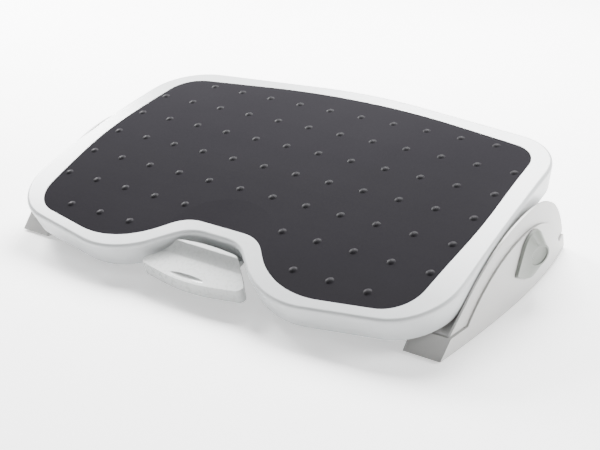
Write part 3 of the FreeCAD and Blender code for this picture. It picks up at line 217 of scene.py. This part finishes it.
class Graph:
    """The node tree of one material."""

    def __init__(self, name: str) -> None:
        """Make an empty material with its shader and output.

        Args:
            name: The material's name.
        """
        self.material = bpy.data.materials.new(name)
        self.material.use_nodes = True
        self.tree = self.material.node_tree
        self.tree.nodes.clear()
        self.shader = self.tree.nodes.new("ShaderNodeBsdfPrincipled")
        output = self.tree.nodes.new("ShaderNodeOutputMaterial")
        self.tree.links.new(self.shader.outputs[0], output.inputs["Surface"])

    def constant(self, socket: str, value: Any) -> None:
        """Set a constant on one of the shader's own sockets.

        Args:
            socket: The socket's name.
            value: The plain value.
        """
        self.shader.inputs[socket].default_value = value

    def vary(self, socket: str, value: Expression) -> None:
        """Let one of the shader's sockets change over the surface.

        Args:
            socket: The socket's name.
            value: What it follows.
        """
        self.feed(self.shader.inputs[socket], value)

    def feed(self, target: Any, value: Any) -> None:
        """Link or set one input socket.

        Args:
            target: The input socket.
            value: An expression to link, or a plain value to set.
        """
        if isinstance(value, Expression):
            self.tree.links.new(value.socket, target)
        else:
            target.default_value = value

    def node(self, kind: str, settings: dict[str, Any], inputs: dict[Any, Any], output: Any = 0) -> Expression:
        """Add a node, set it up and feed its inputs.

        Args:
            kind: The node's type.
            settings: Its properties, set before its sockets.
            inputs: Values or expressions by socket name or number.
            output: The output socket to return.

        Returns:
            The output as an expression.
        """
        made = self.tree.nodes.new(kind)
        for key, value in settings.items():
            setattr(made, key, value)
        for key, value in inputs.items():
            self.feed(made.inputs[key], value)
        return Expression(self, made.outputs[output])

    def place(self) -> Expression:
        """Read the Object coordinates.

        Returns:
            The coordinates.
        """
        return self.node("ShaderNodeTexCoord", {}, {}, "Object")

    def noise(self, scale: float, detail: float = 2.0, stretch: Sequence[float] = (1.0, 1.0, 1.0)) -> Expression:
        """Cloudy noise over Object coordinates.

        Args:
            scale: Features to the metre.
            detail: Octaves of finer noise.
            stretch: Scale along each axis.

        Returns:
            The noise, about 0 to 1.
        """
        mapped = self.node("ShaderNodeMapping", {"vector_type": "POINT"}, {"Vector": self.place(), "Scale": stretch})
        return self.node("ShaderNodeTexNoise", {"noise_dimensions": "3D"},
                         {"Vector": mapped, "Scale": scale, "Detail": detail, "Roughness": 0.55}, 0)

    def mix(self, factor: Value, first: Any, second: Any) -> Expression:
        """Blend two colours.

        Args:
            factor: 0 gives the first, 1 the second.
            first: A colour or an expression.
            second: A colour or an expression.

        Returns:
            The blended colour.
        """
        ends = {key: (*value, 1.0) if isinstance(value, tuple) else value for key, value in ((6, first), (7, second))}
        return self.node("ShaderNodeMix", {"data_type": "RGBA"}, {0: factor, **ends}, 2)

    def bump(self, height: Value, strength: float, distance: float) -> None:
        """Raise the shader's normal by a height.

        Args:
            height: The height as an expression.
            strength: How much of it shows, 0 to 1.
            distance: The height of 1, in metres.
        """
        normal = self.node("ShaderNodeBump", {}, {"Strength": strength, "Distance": distance, "Height": height},
                           "Normal")
        self.vary("Normal", normal)


@dataclass(frozen=True)
class MouldedPlastic:
    """Injection moulded plastic with a fine spark grain."""

    name: str
    colour: Colour
    roughness: float = 0.42
    grain: float = 0.12
    grain_scale: float = 1500.0
    grain_depth: float = 0.00012
    cloud_scale: float = 9.0
    fleck_scale: float = 260.0
    mottle: float = 0.025
    gloss_change: float = 0.06
    specular: float = 0.45

    def material(self) -> bpy.types.Material:
        """Build the finish.

        Returns:
            The material.
        """
        graph = Graph(self.name)
        cloud = graph.noise(self.cloud_scale, 3.0)
        flecks = graph.noise(self.fleck_scale, 2.0)
        shade = cloud * 0.6 + flecks * 0.4
        darker = tuple(c * (1.0 - 2.0 * self.mottle) for c in self.colour)
        lighter = tuple(min(1.0, c * (1.0 + 2.0 * self.mottle)) for c in self.colour)
        graph.vary("Base Color", graph.mix(shade, darker, lighter))
        graph.vary("Roughness", self.roughness - self.gloss_change + flecks * (2.0 * self.gloss_change))
        graph.constant("Specular IOR Level", self.specular)
        graph.bump(graph.noise(self.grain_scale, 3.0), self.grain, self.grain_depth)
        return graph.material


@dataclass(frozen=True)
class MattRubber:
    """Calendered rubber with a pebbled skin."""

    name: str
    colour: Colour
    roughness: float = 0.62
    pebble: float = 0.22
    pebble_scale: float = 900.0
    pebble_depth: float = 0.00016
    cloud_scale: float = 7.0
    dust_scale: float = 420.0
    wear: tuple[float, float] = (1.22, 0.004)
    sheen: float = 0.0
    specular: float = 0.02

    def material(self) -> bpy.types.Material:
        """Build the finish.

        Returns:
            The material.
        """
        graph = Graph(self.name)
        cloud = graph.noise(self.cloud_scale, 3.0)
        cells = graph.node("ShaderNodeTexVoronoi", {"feature": "SMOOTH_F1"},
                           {"Vector": graph.place(), "Scale": self.pebble_scale, "Smoothness": 0.6}, "Distance")
        dust = graph.noise(self.dust_scale, 3.0)
        worn = tuple(min(1.0, c * self.wear[0] + self.wear[1]) for c in self.colour)
        graph.vary("Base Color", graph.mix(cloud * 0.5 + dust * 0.4, self.colour, worn))
        graph.vary("Roughness", self.roughness - 0.05 + dust * 0.14)
        graph.constant("Specular IOR Level", self.specular)
        graph.constant("Sheen Weight", self.sheen)
        graph.constant("Sheen Roughness", 0.5)
        graph.bump(cells * 0.7 + dust * 0.3, self.pebble, self.pebble_depth)
        return graph.material


@dataclass(frozen=True)
class WorkedMetal:
    """Drawn, rolled or turned metal with fine lines along X."""

    name: str
    colour: Colour
    roughness: float = 0.34
    lines: float = 0.10
    line_depth: float = 0.00006
    line_scale: float = 180.0
    line_stretch: tuple[float, float, float] = (0.08, 6.0, 6.0)
    cloud_scale: float = 25.0
    dulling: float = 0.86

    def material(self) -> bpy.types.Material:
        """Build the finish.

        Returns:
            The material.
        """
        graph = Graph(self.name)
        streaks = graph.noise(self.line_scale, 4.0, self.line_stretch)
        cloud = graph.noise(self.cloud_scale, 2.0)
        dull = tuple(c * self.dulling for c in self.colour)
        graph.vary("Base Color", graph.mix(cloud * 0.7 + streaks * 0.3, dull, self.colour))
        graph.vary("Roughness", self.roughness + (streaks - 0.5) * 0.2)
        graph.constant("Metallic", 1.0)
        graph.bump(streaks, self.lines, self.line_depth)
        return graph.material


@dataclass(frozen=True)
class PaleSweep:
    """The plain paper under the footrest."""

    name: str = "pale_sweep"
    colour: Colour = (0.93, 0.93, 0.93)
    fibre_scale: float = 30.0
    fibre_shade: float = 0.985
    roughness: float = 0.9
    specular: float = 0.1
    glow: float = 0.7

    def material(self) -> bpy.types.Material:
        """Build the finish.

        Returns:
            The material.
        """
        graph = Graph(self.name)
        fibre = graph.noise(self.fibre_scale, 3.0)
        shade = tuple(c * self.fibre_shade for c in self.colour)
        graph.vary("Base Color", graph.mix(fibre, shade, self.colour))
        graph.constant("Roughness", self.roughness)
        graph.constant("Specular IOR Level", self.specular)
        graph.constant("Emission Color", WHITE)
        graph.constant("Emission Strength", self.glow)
        return graph.material


class Slot(Enum):
    """The finishes: the record's slots, and one more for the studs of the mat."""

    SUPPORT = ("support_plastic", MouldedPlastic("support_plastic_skin", (0.40, 0.397, 0.388), roughness=0.42,
                                                 grain=0.16, grain_scale=1300.0))
    COVER = ("cover_plastic", MouldedPlastic("cover_plastic_skin", (0.42, 0.42, 0.41), roughness=0.5, grain=0.2,
                                             grain_scale=1100.0))
    PLATFORM = ("platform_plastic", MouldedPlastic("platform_plastic_skin", (0.50, 0.515, 0.52), roughness=0.30,
                                                   grain=0.10, grain_scale=1600.0))
    PEDAL = ("pedal_plastic", MouldedPlastic("pedal_plastic_skin", (0.47, 0.485, 0.48), roughness=0.28, grain=0.10,
                                             grain_scale=1600.0))
    KNOB = ("knob_plastic", MouldedPlastic("knob_plastic_skin", (0.17, 0.182, 0.164), roughness=0.34, grain=0.10,
                                           grain_scale=1500.0))
    MAT = ("mat_rubber", MattRubber("mat_rubber_skin", (0.0138, 0.0131, 0.0150), roughness=0.75, pebble=0.22,
                                    specular=0.0))
    STUD = ("mat_stud", MattRubber("mat_stud_skin", (0.0138, 0.0131, 0.0150), roughness=0.46, pebble=0.05))
    FOOT = ("foot_rubber", MattRubber("foot_rubber_skin", (0.022, 0.022, 0.023), roughness=0.7, pebble=0.3,
                                      pebble_scale=700.0, sheen=0.05))
    BEARING = ("bearing_plastic", MouldedPlastic("bearing_plastic_skin", (0.72, 0.72, 0.66), roughness=0.3,
                                                 grain=0.05, grain_scale=1800.0))
    STEEL = ("steel", WorkedMetal("steel_skin", (0.58, 0.58, 0.59)))
    DRUM = ("drum_metal", WorkedMetal("drum_metal_skin", (0.66, 0.66, 0.67), roughness=0.4, lines=0.2))
    SHOE = ("shoe_plastic", MouldedPlastic("shoe_plastic_skin", (0.035, 0.035, 0.037), roughness=0.5, grain=0.25,
                                           grain_scale=1000.0))
    LINING = ("brake_lining", MattRubber("brake_lining_skin", (0.075, 0.058, 0.046), roughness=0.85, pebble=0.5,
                                         pebble_scale=500.0))

    def __init__(self, slot: str, finish: Any) -> None:
        """Name the slot and its finish.

        Args:
            slot: The slot's name.
            finish: What builds its material.
        """
        self.slot = slot
        self.finish = finish


class FinishRack:
    """The finishes, each built once."""

    def __init__(self) -> None:
        """Build every finish."""
        self.by_slot = {entry.slot: entry.finish.material() for entry in Slot}

    def dress(self, piece: bpy.types.Object, slot: str) -> None:
        """Give a piece one finish.

        Args:
            piece: The object.
            slot: The finish's slot.
        """
        piece.data.materials.clear()
        piece.data.materials.append(self.by_slot[slot])


class Bench:
    """Mesh steps that the sub-assemblies share."""

    @staticmethod
    def hold(piece: bpy.types.Object) -> None:
        """Select one object only and make it active.

        Args:
            piece: The object.
        """
        bpy.ops.object.select_all(action="DESELECT")
        piece.select_set(True)
        bpy.context.view_layer.objects.active = piece

    @classmethod
    def copy_of(cls, node: bpy.types.Object, name: str) -> bpy.types.Object:
        """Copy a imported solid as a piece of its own, merged and freed of flat edges.

        Args:
            node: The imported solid.
            name: The piece's name.

        Returns:
            The copy, at the origin.
        """
        mesh = node.data.copy()
        mesh.name = name
        piece = bpy.data.objects.new(name, mesh)
        bpy.context.scene.collection.objects.link(piece)
        cls.hold(piece)
        bpy.ops.object.mode_set(mode="EDIT")
        bpy.ops.mesh.select_all(action="SELECT")
        bpy.ops.mesh.remove_doubles(threshold=MERGE_DISTANCE)
        bpy.ops.mesh.dissolve_limited(angle_limit=FLAT_ANGLE)
        bpy.ops.object.mode_set(mode="OBJECT")
        return piece

    @classmethod
    def choose_nothing(cls, piece: bpy.types.Object, kind: str = "FACE") -> None:
        """Hold a piece with nothing chosen on its mesh.

        Args:
            piece: The piece.
            kind: What will be chosen: "VERT" or "FACE".
        """
        cls.hold(piece)
        bpy.ops.object.mode_set(mode="EDIT")
        bpy.ops.mesh.select_mode(type=kind)
        bpy.ops.mesh.select_all(action="DESELECT")
        bpy.ops.object.mode_set(mode="OBJECT")

    @classmethod
    def choose_faces(cls, piece: bpy.types.Object, wanted: FaceTest) -> int:
        """Choose only the wanted faces, ready for edit mode.

        Args:
            piece: The piece to choose on.
            wanted: Tells a face by its centre and its normal.

        Returns:
            How many faces are chosen.
        """
        cls.choose_nothing(piece)
        count = 0
        for face in piece.data.polygons:
            if wanted(face.center, face.normal):
                face.select = True
                count += 1
        return count

    @staticmethod
    def round_chosen(width: float, segments: int) -> None:
        """Round the edges that are chosen in edit mode.

        Args:
            width: The round's width in metres.
            segments: Faces across the round.
        """
        bpy.ops.mesh.bevel(offset=width, offset_type="OFFSET", segments=segments, profile=0.5, affect="EDGES",
                           clamp_overlap=True)

    @classmethod
    def round_border(cls, piece: bpy.types.Object, width: float, segments: int) -> None:
        """Round the edges that border the chosen faces.

        Args:
            piece: The piece whose faces are chosen.
            width: The round's width in metres.
            segments: Faces across the round.
        """
        cls.hold(piece)
        bpy.ops.object.mode_set(mode="EDIT")
        bpy.ops.mesh.region_to_loop()
        cls.round_chosen(width, segments)
        bpy.ops.object.mode_set(mode="OBJECT")

    @classmethod
    def soften(cls, piece: bpy.types.Object, width: float, angle: float = 32.0, segments: int = 3,
               smooth: float = 38.0) -> None:
        """Round the sharp edges of a moulding and smooth what is left.

        Args:
            piece: The moulding.
            width: The round's width in metres.
            angle: Edges sharper than this are rounded, in degrees.
            segments: Faces across a round.
            smooth: Edges flatter than this are shaded smooth, in degrees.
        """
        cls.hold(piece)
        bevel = piece.modifiers.new("mould_round", "BEVEL")
        bevel.width = width
        bevel.segments = segments
        bevel.limit_method = "ANGLE"
        bevel.angle_limit = math.radians(angle)
        bevel.harden_normals = False
        bpy.ops.object.modifier_apply(modifier=bevel.name)
        bpy.ops.object.shade_smooth_by_angle(angle=math.radians(smooth))
        weighted = piece.modifiers.new("even_faces", "WEIGHTED_NORMAL")
        weighted.keep_sharp = True
        bpy.ops.object.modifier_apply(modifier=weighted.name)


@dataclass
class Assembly:
    """What every sub-assembly needs: the frame, and the finishes."""

    frame: dict[str, Any]
    finishes: FinishRack
    rounds: dict[str, float] = field(default_factory=dict)

    def slot_of(self, node: str) -> str:
        """Find the slot that the record gives a node.

        Args:
            node: The node's name.

        Returns:
            The slot's name.
        """
        return next(part["material_slot"] for part in self.frame["record"]["subparts"] if part["node"] == node)

    def body_of(self, node: str) -> str:
        """Find the body that a node belongs to.

        Args:
            node: The node's name.

        Returns:
            The body's name.
        """
        bodies = self.frame["record"]["behaviour"]["bodies"]
        return next(body for body, nodes in bodies.items() if node in nodes)

    def adopt(self, piece: bpy.types.Object, node: str) -> None:
        """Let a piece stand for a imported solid, with its body and its finish.

        Args:
            piece: The piece.
            node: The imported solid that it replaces.
        """
        slot = self.slot_of(node)
        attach(piece, self.body_of(node))
        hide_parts(node)
        self.finishes.dress(piece, slot)
        LOG.info("%s stands for %s", piece.name, node)

    def copy(self, node: str, ending: str = "_moulding") -> bpy.types.Object:
        """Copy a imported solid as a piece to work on.

        Args:
            node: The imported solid.
            ending: What is added to its name.

        Returns:
            The copy.
        """
        return Bench.copy_of(self.frame["nodes"][node], node + ending)

    def mould(self) -> None:
        """Make the softened copy of each moulding in rounds."""
        for node, width in self.rounds.items():
            piece = self.copy(node)
            Bench.soften(piece, width)
            self.adopt(piece, node)


@dataclass
class SideSupports(Assembly):
    """The bases, arms and knobs of both sides."""

    rounds: dict[str, float] = field(default_factory=lambda: {
        "base_shell_right": 0.0007, "base_shell_left": 0.0007, "arm_right": 0.0007, "arm_left": 0.0007,
        "inner_cover_right": 0.0004, "inner_cover_left": 0.0004,
    })
    dish_area: float = math.pi * 0.0105 ** 2
    dish_area_play: float = 0.1
    dish_lean: float = -0.2
    dish_steps: tuple[tuple[float, float], ...] = ((0.0020, 0.0008), (0.0026, 0.0005), (0.0030, 0.0002))
    same_place: float = 0.0001
    knob_round: float = 0.0016
    knob_angle: float = 24.0
    knob_segments: int = 4

    def knob(self, side: str) -> None:
        """Copy a knob, hollow its dish and round its edges.

        Args:
            side: "right" or "left".
        """
        node = "knob_" + side
        piece = self.copy(node)
        floor = max(piece.data.polygons, key=lambda face: abs(face.center.x) if self.is_dish(face) else 0.0)
        middle = floor.center.copy()
        Bench.choose_faces(piece, lambda centre, normal: (centre - middle).length < self.same_place)
        bpy.ops.object.mode_set(mode="EDIT")
        for thickness, depth in self.dish_steps:
            bpy.ops.mesh.inset(thickness=thickness, depth=-depth)
        bpy.ops.object.mode_set(mode="OBJECT")
        Bench.soften(piece, self.knob_round, self.knob_angle, self.knob_segments)
        self.adopt(piece, node)

    def is_dish(self, face: bpy.types.MeshPolygon) -> bool:
        """Tell the dish's floor by its lean and its size.

        Args:
            face: A face of the knob.

        Returns:
            True for a face that could be the floor.
        """
        return abs(face.area / self.dish_area - 1.0) < self.dish_area_play and face.normal.y < self.dish_lean


@dataclass
class Platform(Assembly):
    """The platform's moulding, its mat and the mat's studs."""

    shoulder_width: float = 0.0018
    shoulder_depth: float = 0.0030
    shoulder_lean: tuple[float, float] = (0.35, 0.92)
    shoulder_segments: int = 4
    edge_round: float = 0.0006
    stud_pitch: float = 0.042
    stud_rings: tuple[tuple[float, float], ...] = ((0.0046, -0.00015), (0.0041, 0.0001), (0.0034, 0.00055),
                                                   (0.0025, 0.00105), (0.0014, 0.00136), (0.0005, 0.00146))
    stud_sides: int = 20
    stud_clearance: float = 0.0005
    mat_sink: float = 0.0004
    mat_round: float = 0.0005
    mat_angle: float = 50.0
    mat_segments: int = 2
    crease_angle: float = 1.8
    stud_rows: tuple[tuple[int, int, int], ...] = ((3, 0, 4), (2, 0, 5), (1, 0, 5), (0, 0, 5), (-1, 0, 5), (-2, 1, 5),
                                                   (-3, 2, 4))

    def stud(self) -> bpy.types.Object:
        """Model one domed stud with a soft foot, its foot at the origin.

        Returns:
            The dome, open at its foot.
        """
        radius, height = self.stud_rings[0]
        bpy.ops.object.select_all(action="DESELECT")
        bpy.ops.mesh.primitive_circle_add(vertices=self.stud_sides, radius=radius, location=(0.0, 0.0, height))
        dome = bpy.context.object
        bpy.ops.object.transform_apply(location=True, rotation=True, scale=True)
        bpy.ops.object.mode_set(mode="EDIT")
        bpy.ops.mesh.select_all(action="SELECT")
        for next_radius, next_height in self.stud_rings[1:]:
            share = next_radius / radius
            bpy.ops.mesh.extrude_edges_move()
            bpy.ops.transform.resize(value=(share, share, 1.0))
            bpy.ops.transform.translate(value=(0.0, 0.0, next_height - height))
            radius, height = next_radius, next_height
        bpy.ops.mesh.edge_face_add()
        bpy.ops.mesh.select_all(action="SELECT")
        bpy.ops.mesh.normals_make_consistent(inside=False)
        bpy.ops.object.mode_set(mode="OBJECT")
        bpy.ops.object.shade_smooth()
        return dome

    def stud_places(self) -> list[tuple[float, float]]:
        """Where the studs stand on the flat deck.

        Returns:
            (x, y) of each stud.
        """
        places = []
        for row, first, last in self.stud_rows:
            for column in range(first, last + 1):
                for side in (-1, 1):
                    places.append((side * (column + 0.5) * self.stud_pitch, row * self.stud_pitch))
        return places

    @staticmethod
    def crown_drop(y: float) -> float:
        """Find how far the crowned top lies below the deck's centre.

        Args:
            y: Place along the flat drawing.

        Returns:
            The drop in metres.
        """
        return y * y / (2.0 * CROWN_RADIUS)

    def above_crown(self, point: Vector) -> float:
        """Find how high a point lies over the crowned top.

        Args:
            point: A point in the part's frame.

        Returns:
            The height in metres, less than 0 below the top.
        """
        flat = off_platform(point)
        return flat.z + self.crown_drop(flat.y)

    def on_shoulder(self, centre: Vector, normal: Vector) -> bool:
        """Tell the faces of the chamfer along the shell's outer edge.

        Args:
            centre: A face's centre.
            normal: Its normal.

        Returns:
            True on the chamfer.
        """
        low, high = self.shoulder_lean
        leaning = low < normal.dot(Matrix.Rotation(TILT, 3, "X") @ UP) < high
        return leaning and -self.shoulder_depth < self.above_crown(centre) < 0.0

    def shell(self) -> None:
        """Copy the platform's moulding and turn the chamfer along its outer edge into a round shoulder."""
        piece = self.copy("platform_shell")
        count = Bench.choose_faces(piece, self.on_shoulder)
        Bench.round_border(piece, self.shoulder_width, self.shoulder_segments)
        LOG.info("the shoulder has %d faces before it is rounded", count)
        Bench.soften(piece, self.edge_round)
        self.adopt(piece, "platform_shell")

    def plain_mat(self) -> bpy.types.Object:
        """Copy the mat without its plain studs.

        Returns:
            The copy, closed where the studs stood.
        """
        piece = self.copy("foot_mat", "_skin")
        Bench.choose_nothing(piece, "VERT")
        for corner in piece.data.vertices:
            if self.above_crown(corner.co) > -self.mat_sink + self.stud_clearance:
                corner.select = True
        bpy.ops.object.mode_set(mode="EDIT")
        bpy.ops.mesh.delete(type="VERT")
        bpy.ops.mesh.select_all(action="SELECT")
        bpy.ops.mesh.fill_holes(sides=0)
        bpy.ops.object.mode_set(mode="OBJECT")
        return piece

    def mat(self) -> None:
        """Lay the mat, with a small round along its edge."""
        piece = self.plain_mat()
        Bench.soften(piece, self.mat_round, self.mat_angle, self.mat_segments, self.crease_angle)
        self.adopt(piece, "foot_mat")

    def studs(self) -> None:
        """Copy the stud over the mat and join the copies into one piece."""
        pattern = self.stud()
        copies = []
        for x, y in self.stud_places():
            slope = math.asin(y / CROWN_RADIUS)
            height = -self.mat_sink - self.crown_drop(y)
            copy = bpy.data.objects.new("mat_stud", pattern.data.copy())
            bpy.context.scene.collection.objects.link(copy)
            turn = Matrix.Rotation(TILT - slope, 4, "X")
            copy.data.transform(Matrix.Translation(on_platform(x, y, height)) @ turn)
            copies.append(copy)
        bpy.data.objects.remove(pattern)
        bpy.ops.object.select_all(action="DESELECT")
        for copy in copies:
            copy.select_set(True)
        bpy.context.view_layer.objects.active = copies[0]
        bpy.ops.object.join()
        joined = copies[0]
        joined.name = "mat_studs"
        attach(joined, "platform")
        self.finishes.dress(joined, Slot.STUD.slot)
        LOG.info("mat_studs has %d studs", len(copies))


@dataclass
class PedalAndLock(Assembly):
    """The foot pedal and what it works."""

    rounds: dict[str, float] = field(default_factory=lambda: {"mechanism_cover": 0.0005})
    pad_front: float = -0.118
    pad_floor: float = -0.023
    pad_lean: float = 0.25
    pad_round: float = 0.0024
    pad_segments: int = 5
    crest_y: float = -0.129
    crest_height: float = -0.0105
    crest_play: float = 0.0004
    crest_round: float = 0.0034
    crest_segments: int = 6
    grip_centre: tuple[float, float, float] = (-0.001, -0.1635, -0.0181)
    grip_half: tuple[float, float, float] = (0.026, 0.0043, 0.004)
    grip_sides: int = 56
    edge_round: float = 0.0006
    spring_end: tuple[float, float, float] = (0.0, -0.069073, 0.048)
    spring_keep: float = 0.85
    spring_smooth: float = 80.0

    def pedal(self) -> None:
        """Copy the pedal, round its ridge and its pad, and sink the crescent."""
        piece = self.copy("foot_pedal")
        self.round_crest(piece)
        count = Bench.choose_faces(piece, self.on_pad)
        Bench.round_border(piece, self.pad_round, self.pad_segments)
        LOG.info("the pad's top has %d faces", count)
        self.cut_grip(piece)
        Bench.soften(piece, self.edge_round)
        self.adopt(piece, "foot_pedal")

    def on_pad(self, centre: Vector, normal: Vector) -> bool:
        """Tell the faces of the pad's top, from its front to its ridge.

        Args:
            centre: A face's centre.
            normal: Its normal.

        Returns:
            True on the top.
        """
        flat = off_platform(centre)
        rise = (Matrix.Rotation(-TILT, 3, "X") @ normal).z
        return flat.y < self.pad_front and flat.z > self.pad_floor and rise > self.pad_lean

    def on_crest(self, point: Vector) -> bool:
        """Tell the points of the ridge's front edge.

        Args:
            point: A point in the part's frame.

        Returns:
            True on the edge.
        """
        flat = off_platform(point)
        near = (abs(flat.y - self.crest_y), abs(flat.z - self.crest_height))
        return max(near) < self.crest_play

    def round_crest(self, piece: bpy.types.Object) -> None:
        """Round the crest of the ridge along the pad's rear.

        Args:
            piece: The pedal.
        """
        Bench.choose_nothing(piece)
        corners = piece.data.vertices
        for edge in piece.data.edges:
            if all(self.on_crest(corners[corner].co) for corner in edge.vertices):
                edge.select = True
        bpy.ops.object.mode_set(mode="EDIT")
        bpy.ops.mesh.select_mode(type="EDGE")
        Bench.round_chosen(self.crest_round, self.crest_segments)
        bpy.ops.object.mode_set(mode="OBJECT")

    def cut_grip(self, piece: bpy.types.Object) -> None:
        """Sink the crescent in the front of the pad.

        Args:
            piece: The pedal.
        """
        bpy.ops.object.select_all(action="DESELECT")
        bpy.ops.mesh.primitive_uv_sphere_add(segments=self.grip_sides, ring_count=self.grip_sides // 2, radius=1.0,
                                             location=(0.0, 0.0, 0.0))
        cutter = bpy.context.object
        stretch = Matrix.Diagonal((*self.grip_half, 1.0))
        lay = Matrix.Translation(on_platform(*self.grip_centre)) @ Matrix.Rotation(TILT, 4, "X")
        cutter.data.transform(lay @ stretch)
        Bench.hold(piece)
        cut = piece.modifiers.new("grip", "BOOLEAN")
        cut.object = cutter
        cut.operation = "DIFFERENCE"
        cut.solver = "EXACT"
        bpy.ops.object.modifier_apply(modifier=cut.name)
        bpy.data.objects.remove(cutter)

    def spring(self) -> None:
        """Copy the lock's spring and shade it smooth; the real spring shortens as the slider draws back, but nothing
        here makes the copy shorten.
        """
        piece = self.copy("lock_spring", "_coil")
        Bench.hold(piece)
        bpy.ops.object.shade_smooth_by_angle(angle=math.radians(self.spring_smooth))
        self.adopt(piece, "lock_spring")
        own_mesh(piece)


@dataclass(frozen=True)
class Softbox:
    """One square light that faces the footrest, in metres and watts."""

    name: str
    place: tuple[float, float, float]
    size: float
    power: float

    def hang(self, target: Vector) -> None:
        """Hang the light.

        Args:
            target: What it faces.
        """
        place = Vector(self.place)
        data = bpy.data.lights.new(self.name, "AREA")
        data.size = self.size
        data.energy = self.power
        holder = bpy.data.objects.new(self.name, data)
        bpy.context.scene.collection.objects.link(holder)
        look = (target - place).to_track_quat("-Z", "Y").to_matrix().to_4x4()
        holder.matrix_world = Matrix.Translation(place) @ look


@dataclass
class Studio:
    """The sweep, the lights and the camera of the photograph."""

    eye: tuple[float, float, float] = (0.7219, -0.9334, 0.5536)
    aim: tuple[float, float, float] = (0.0700, 0.0162, 0.0302)
    roll: float = -0.934
    focal_length: float = 72.0
    shift: float = -0.0833
    air: float = 0.3
    lit_point: tuple[float, float, float] = (0.0, 0.0, 0.05)
    floor_size: float = 12.0
    softboxes: tuple[Softbox, ...] = (
        Softbox("rear_softbox", (-0.25, 0.95, 1.15), 1.0, 125.0),
        Softbox("left_softbox", (-1.6, 0.55, 0.95), 0.7, 130.0),
        Softbox("right_softbox", (1.7, 0.75, 0.9), 0.8, 58.0),
    )

    def camera(self) -> None:
        """Set the camera at the photograph's angle."""
        eye = Vector(self.eye)
        data = bpy.data.cameras.new("photo_camera")
        data.lens = self.focal_length
        data.sensor_width = FILM_WIDTH
        data.shift_x = self.shift
        data.clip_start = FILM_CLIP
        holder = bpy.data.objects.new("photo_camera", data)
        bpy.context.scene.collection.objects.link(holder)
        look = (Vector(self.aim) - eye).to_track_quat("-Z", "Y").to_matrix().to_4x4()
        holder.matrix_world = Matrix.Translation(eye) @ look @ Matrix.Rotation(math.radians(self.roll), 4, "Z")
        bpy.context.scene.camera = holder

    def lights(self) -> None:
        """Light the footrest softly from the rear and from both sides."""
        world = bpy.data.worlds.new("studio_air")
        world.use_nodes = True
        background = world.node_tree.nodes["Background"]
        background.inputs["Color"].default_value = WHITE
        background.inputs["Strength"].default_value = self.air
        bpy.context.scene.world = world
        for softbox in self.softboxes:
            softbox.hang(Vector(self.lit_point))

    def sweep(self) -> None:
        """Lay the pale floor."""
        bpy.ops.object.select_all(action="DESELECT")
        bpy.ops.mesh.primitive_plane_add(size=self.floor_size, location=(0.0, 0.0, 0.0))
        floor = bpy.context.object
        floor.name = "pale_floor"
        floor.data.materials.append(PaleSweep().material())


def main() -> None:
    """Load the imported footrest, dress it and set the studio round it."""
    logging.basicConfig(level=logging.INFO, format="%(message)s")
    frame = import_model()
    studio = Studio()
    studio.camera()
    finishes = FinishRack()
    bare = Assembly(frame, finishes)
    for node, holder in frame["nodes"].items():
        finishes.dress(holder, bare.slot_of(node))
    supports = SideSupports(frame, finishes)
    supports.mould()
    supports.knob("right")
    supports.knob("left")
    platform = Platform(frame, finishes)
    platform.shell()
    platform.mat()
    platform.studs()
    pedal = PedalAndLock(frame, finishes)
    pedal.mould()
    pedal.pedal()
    pedal.spring()
    studio.sweep()
    studio.lights()


if __name__ == "__main__":
    main()
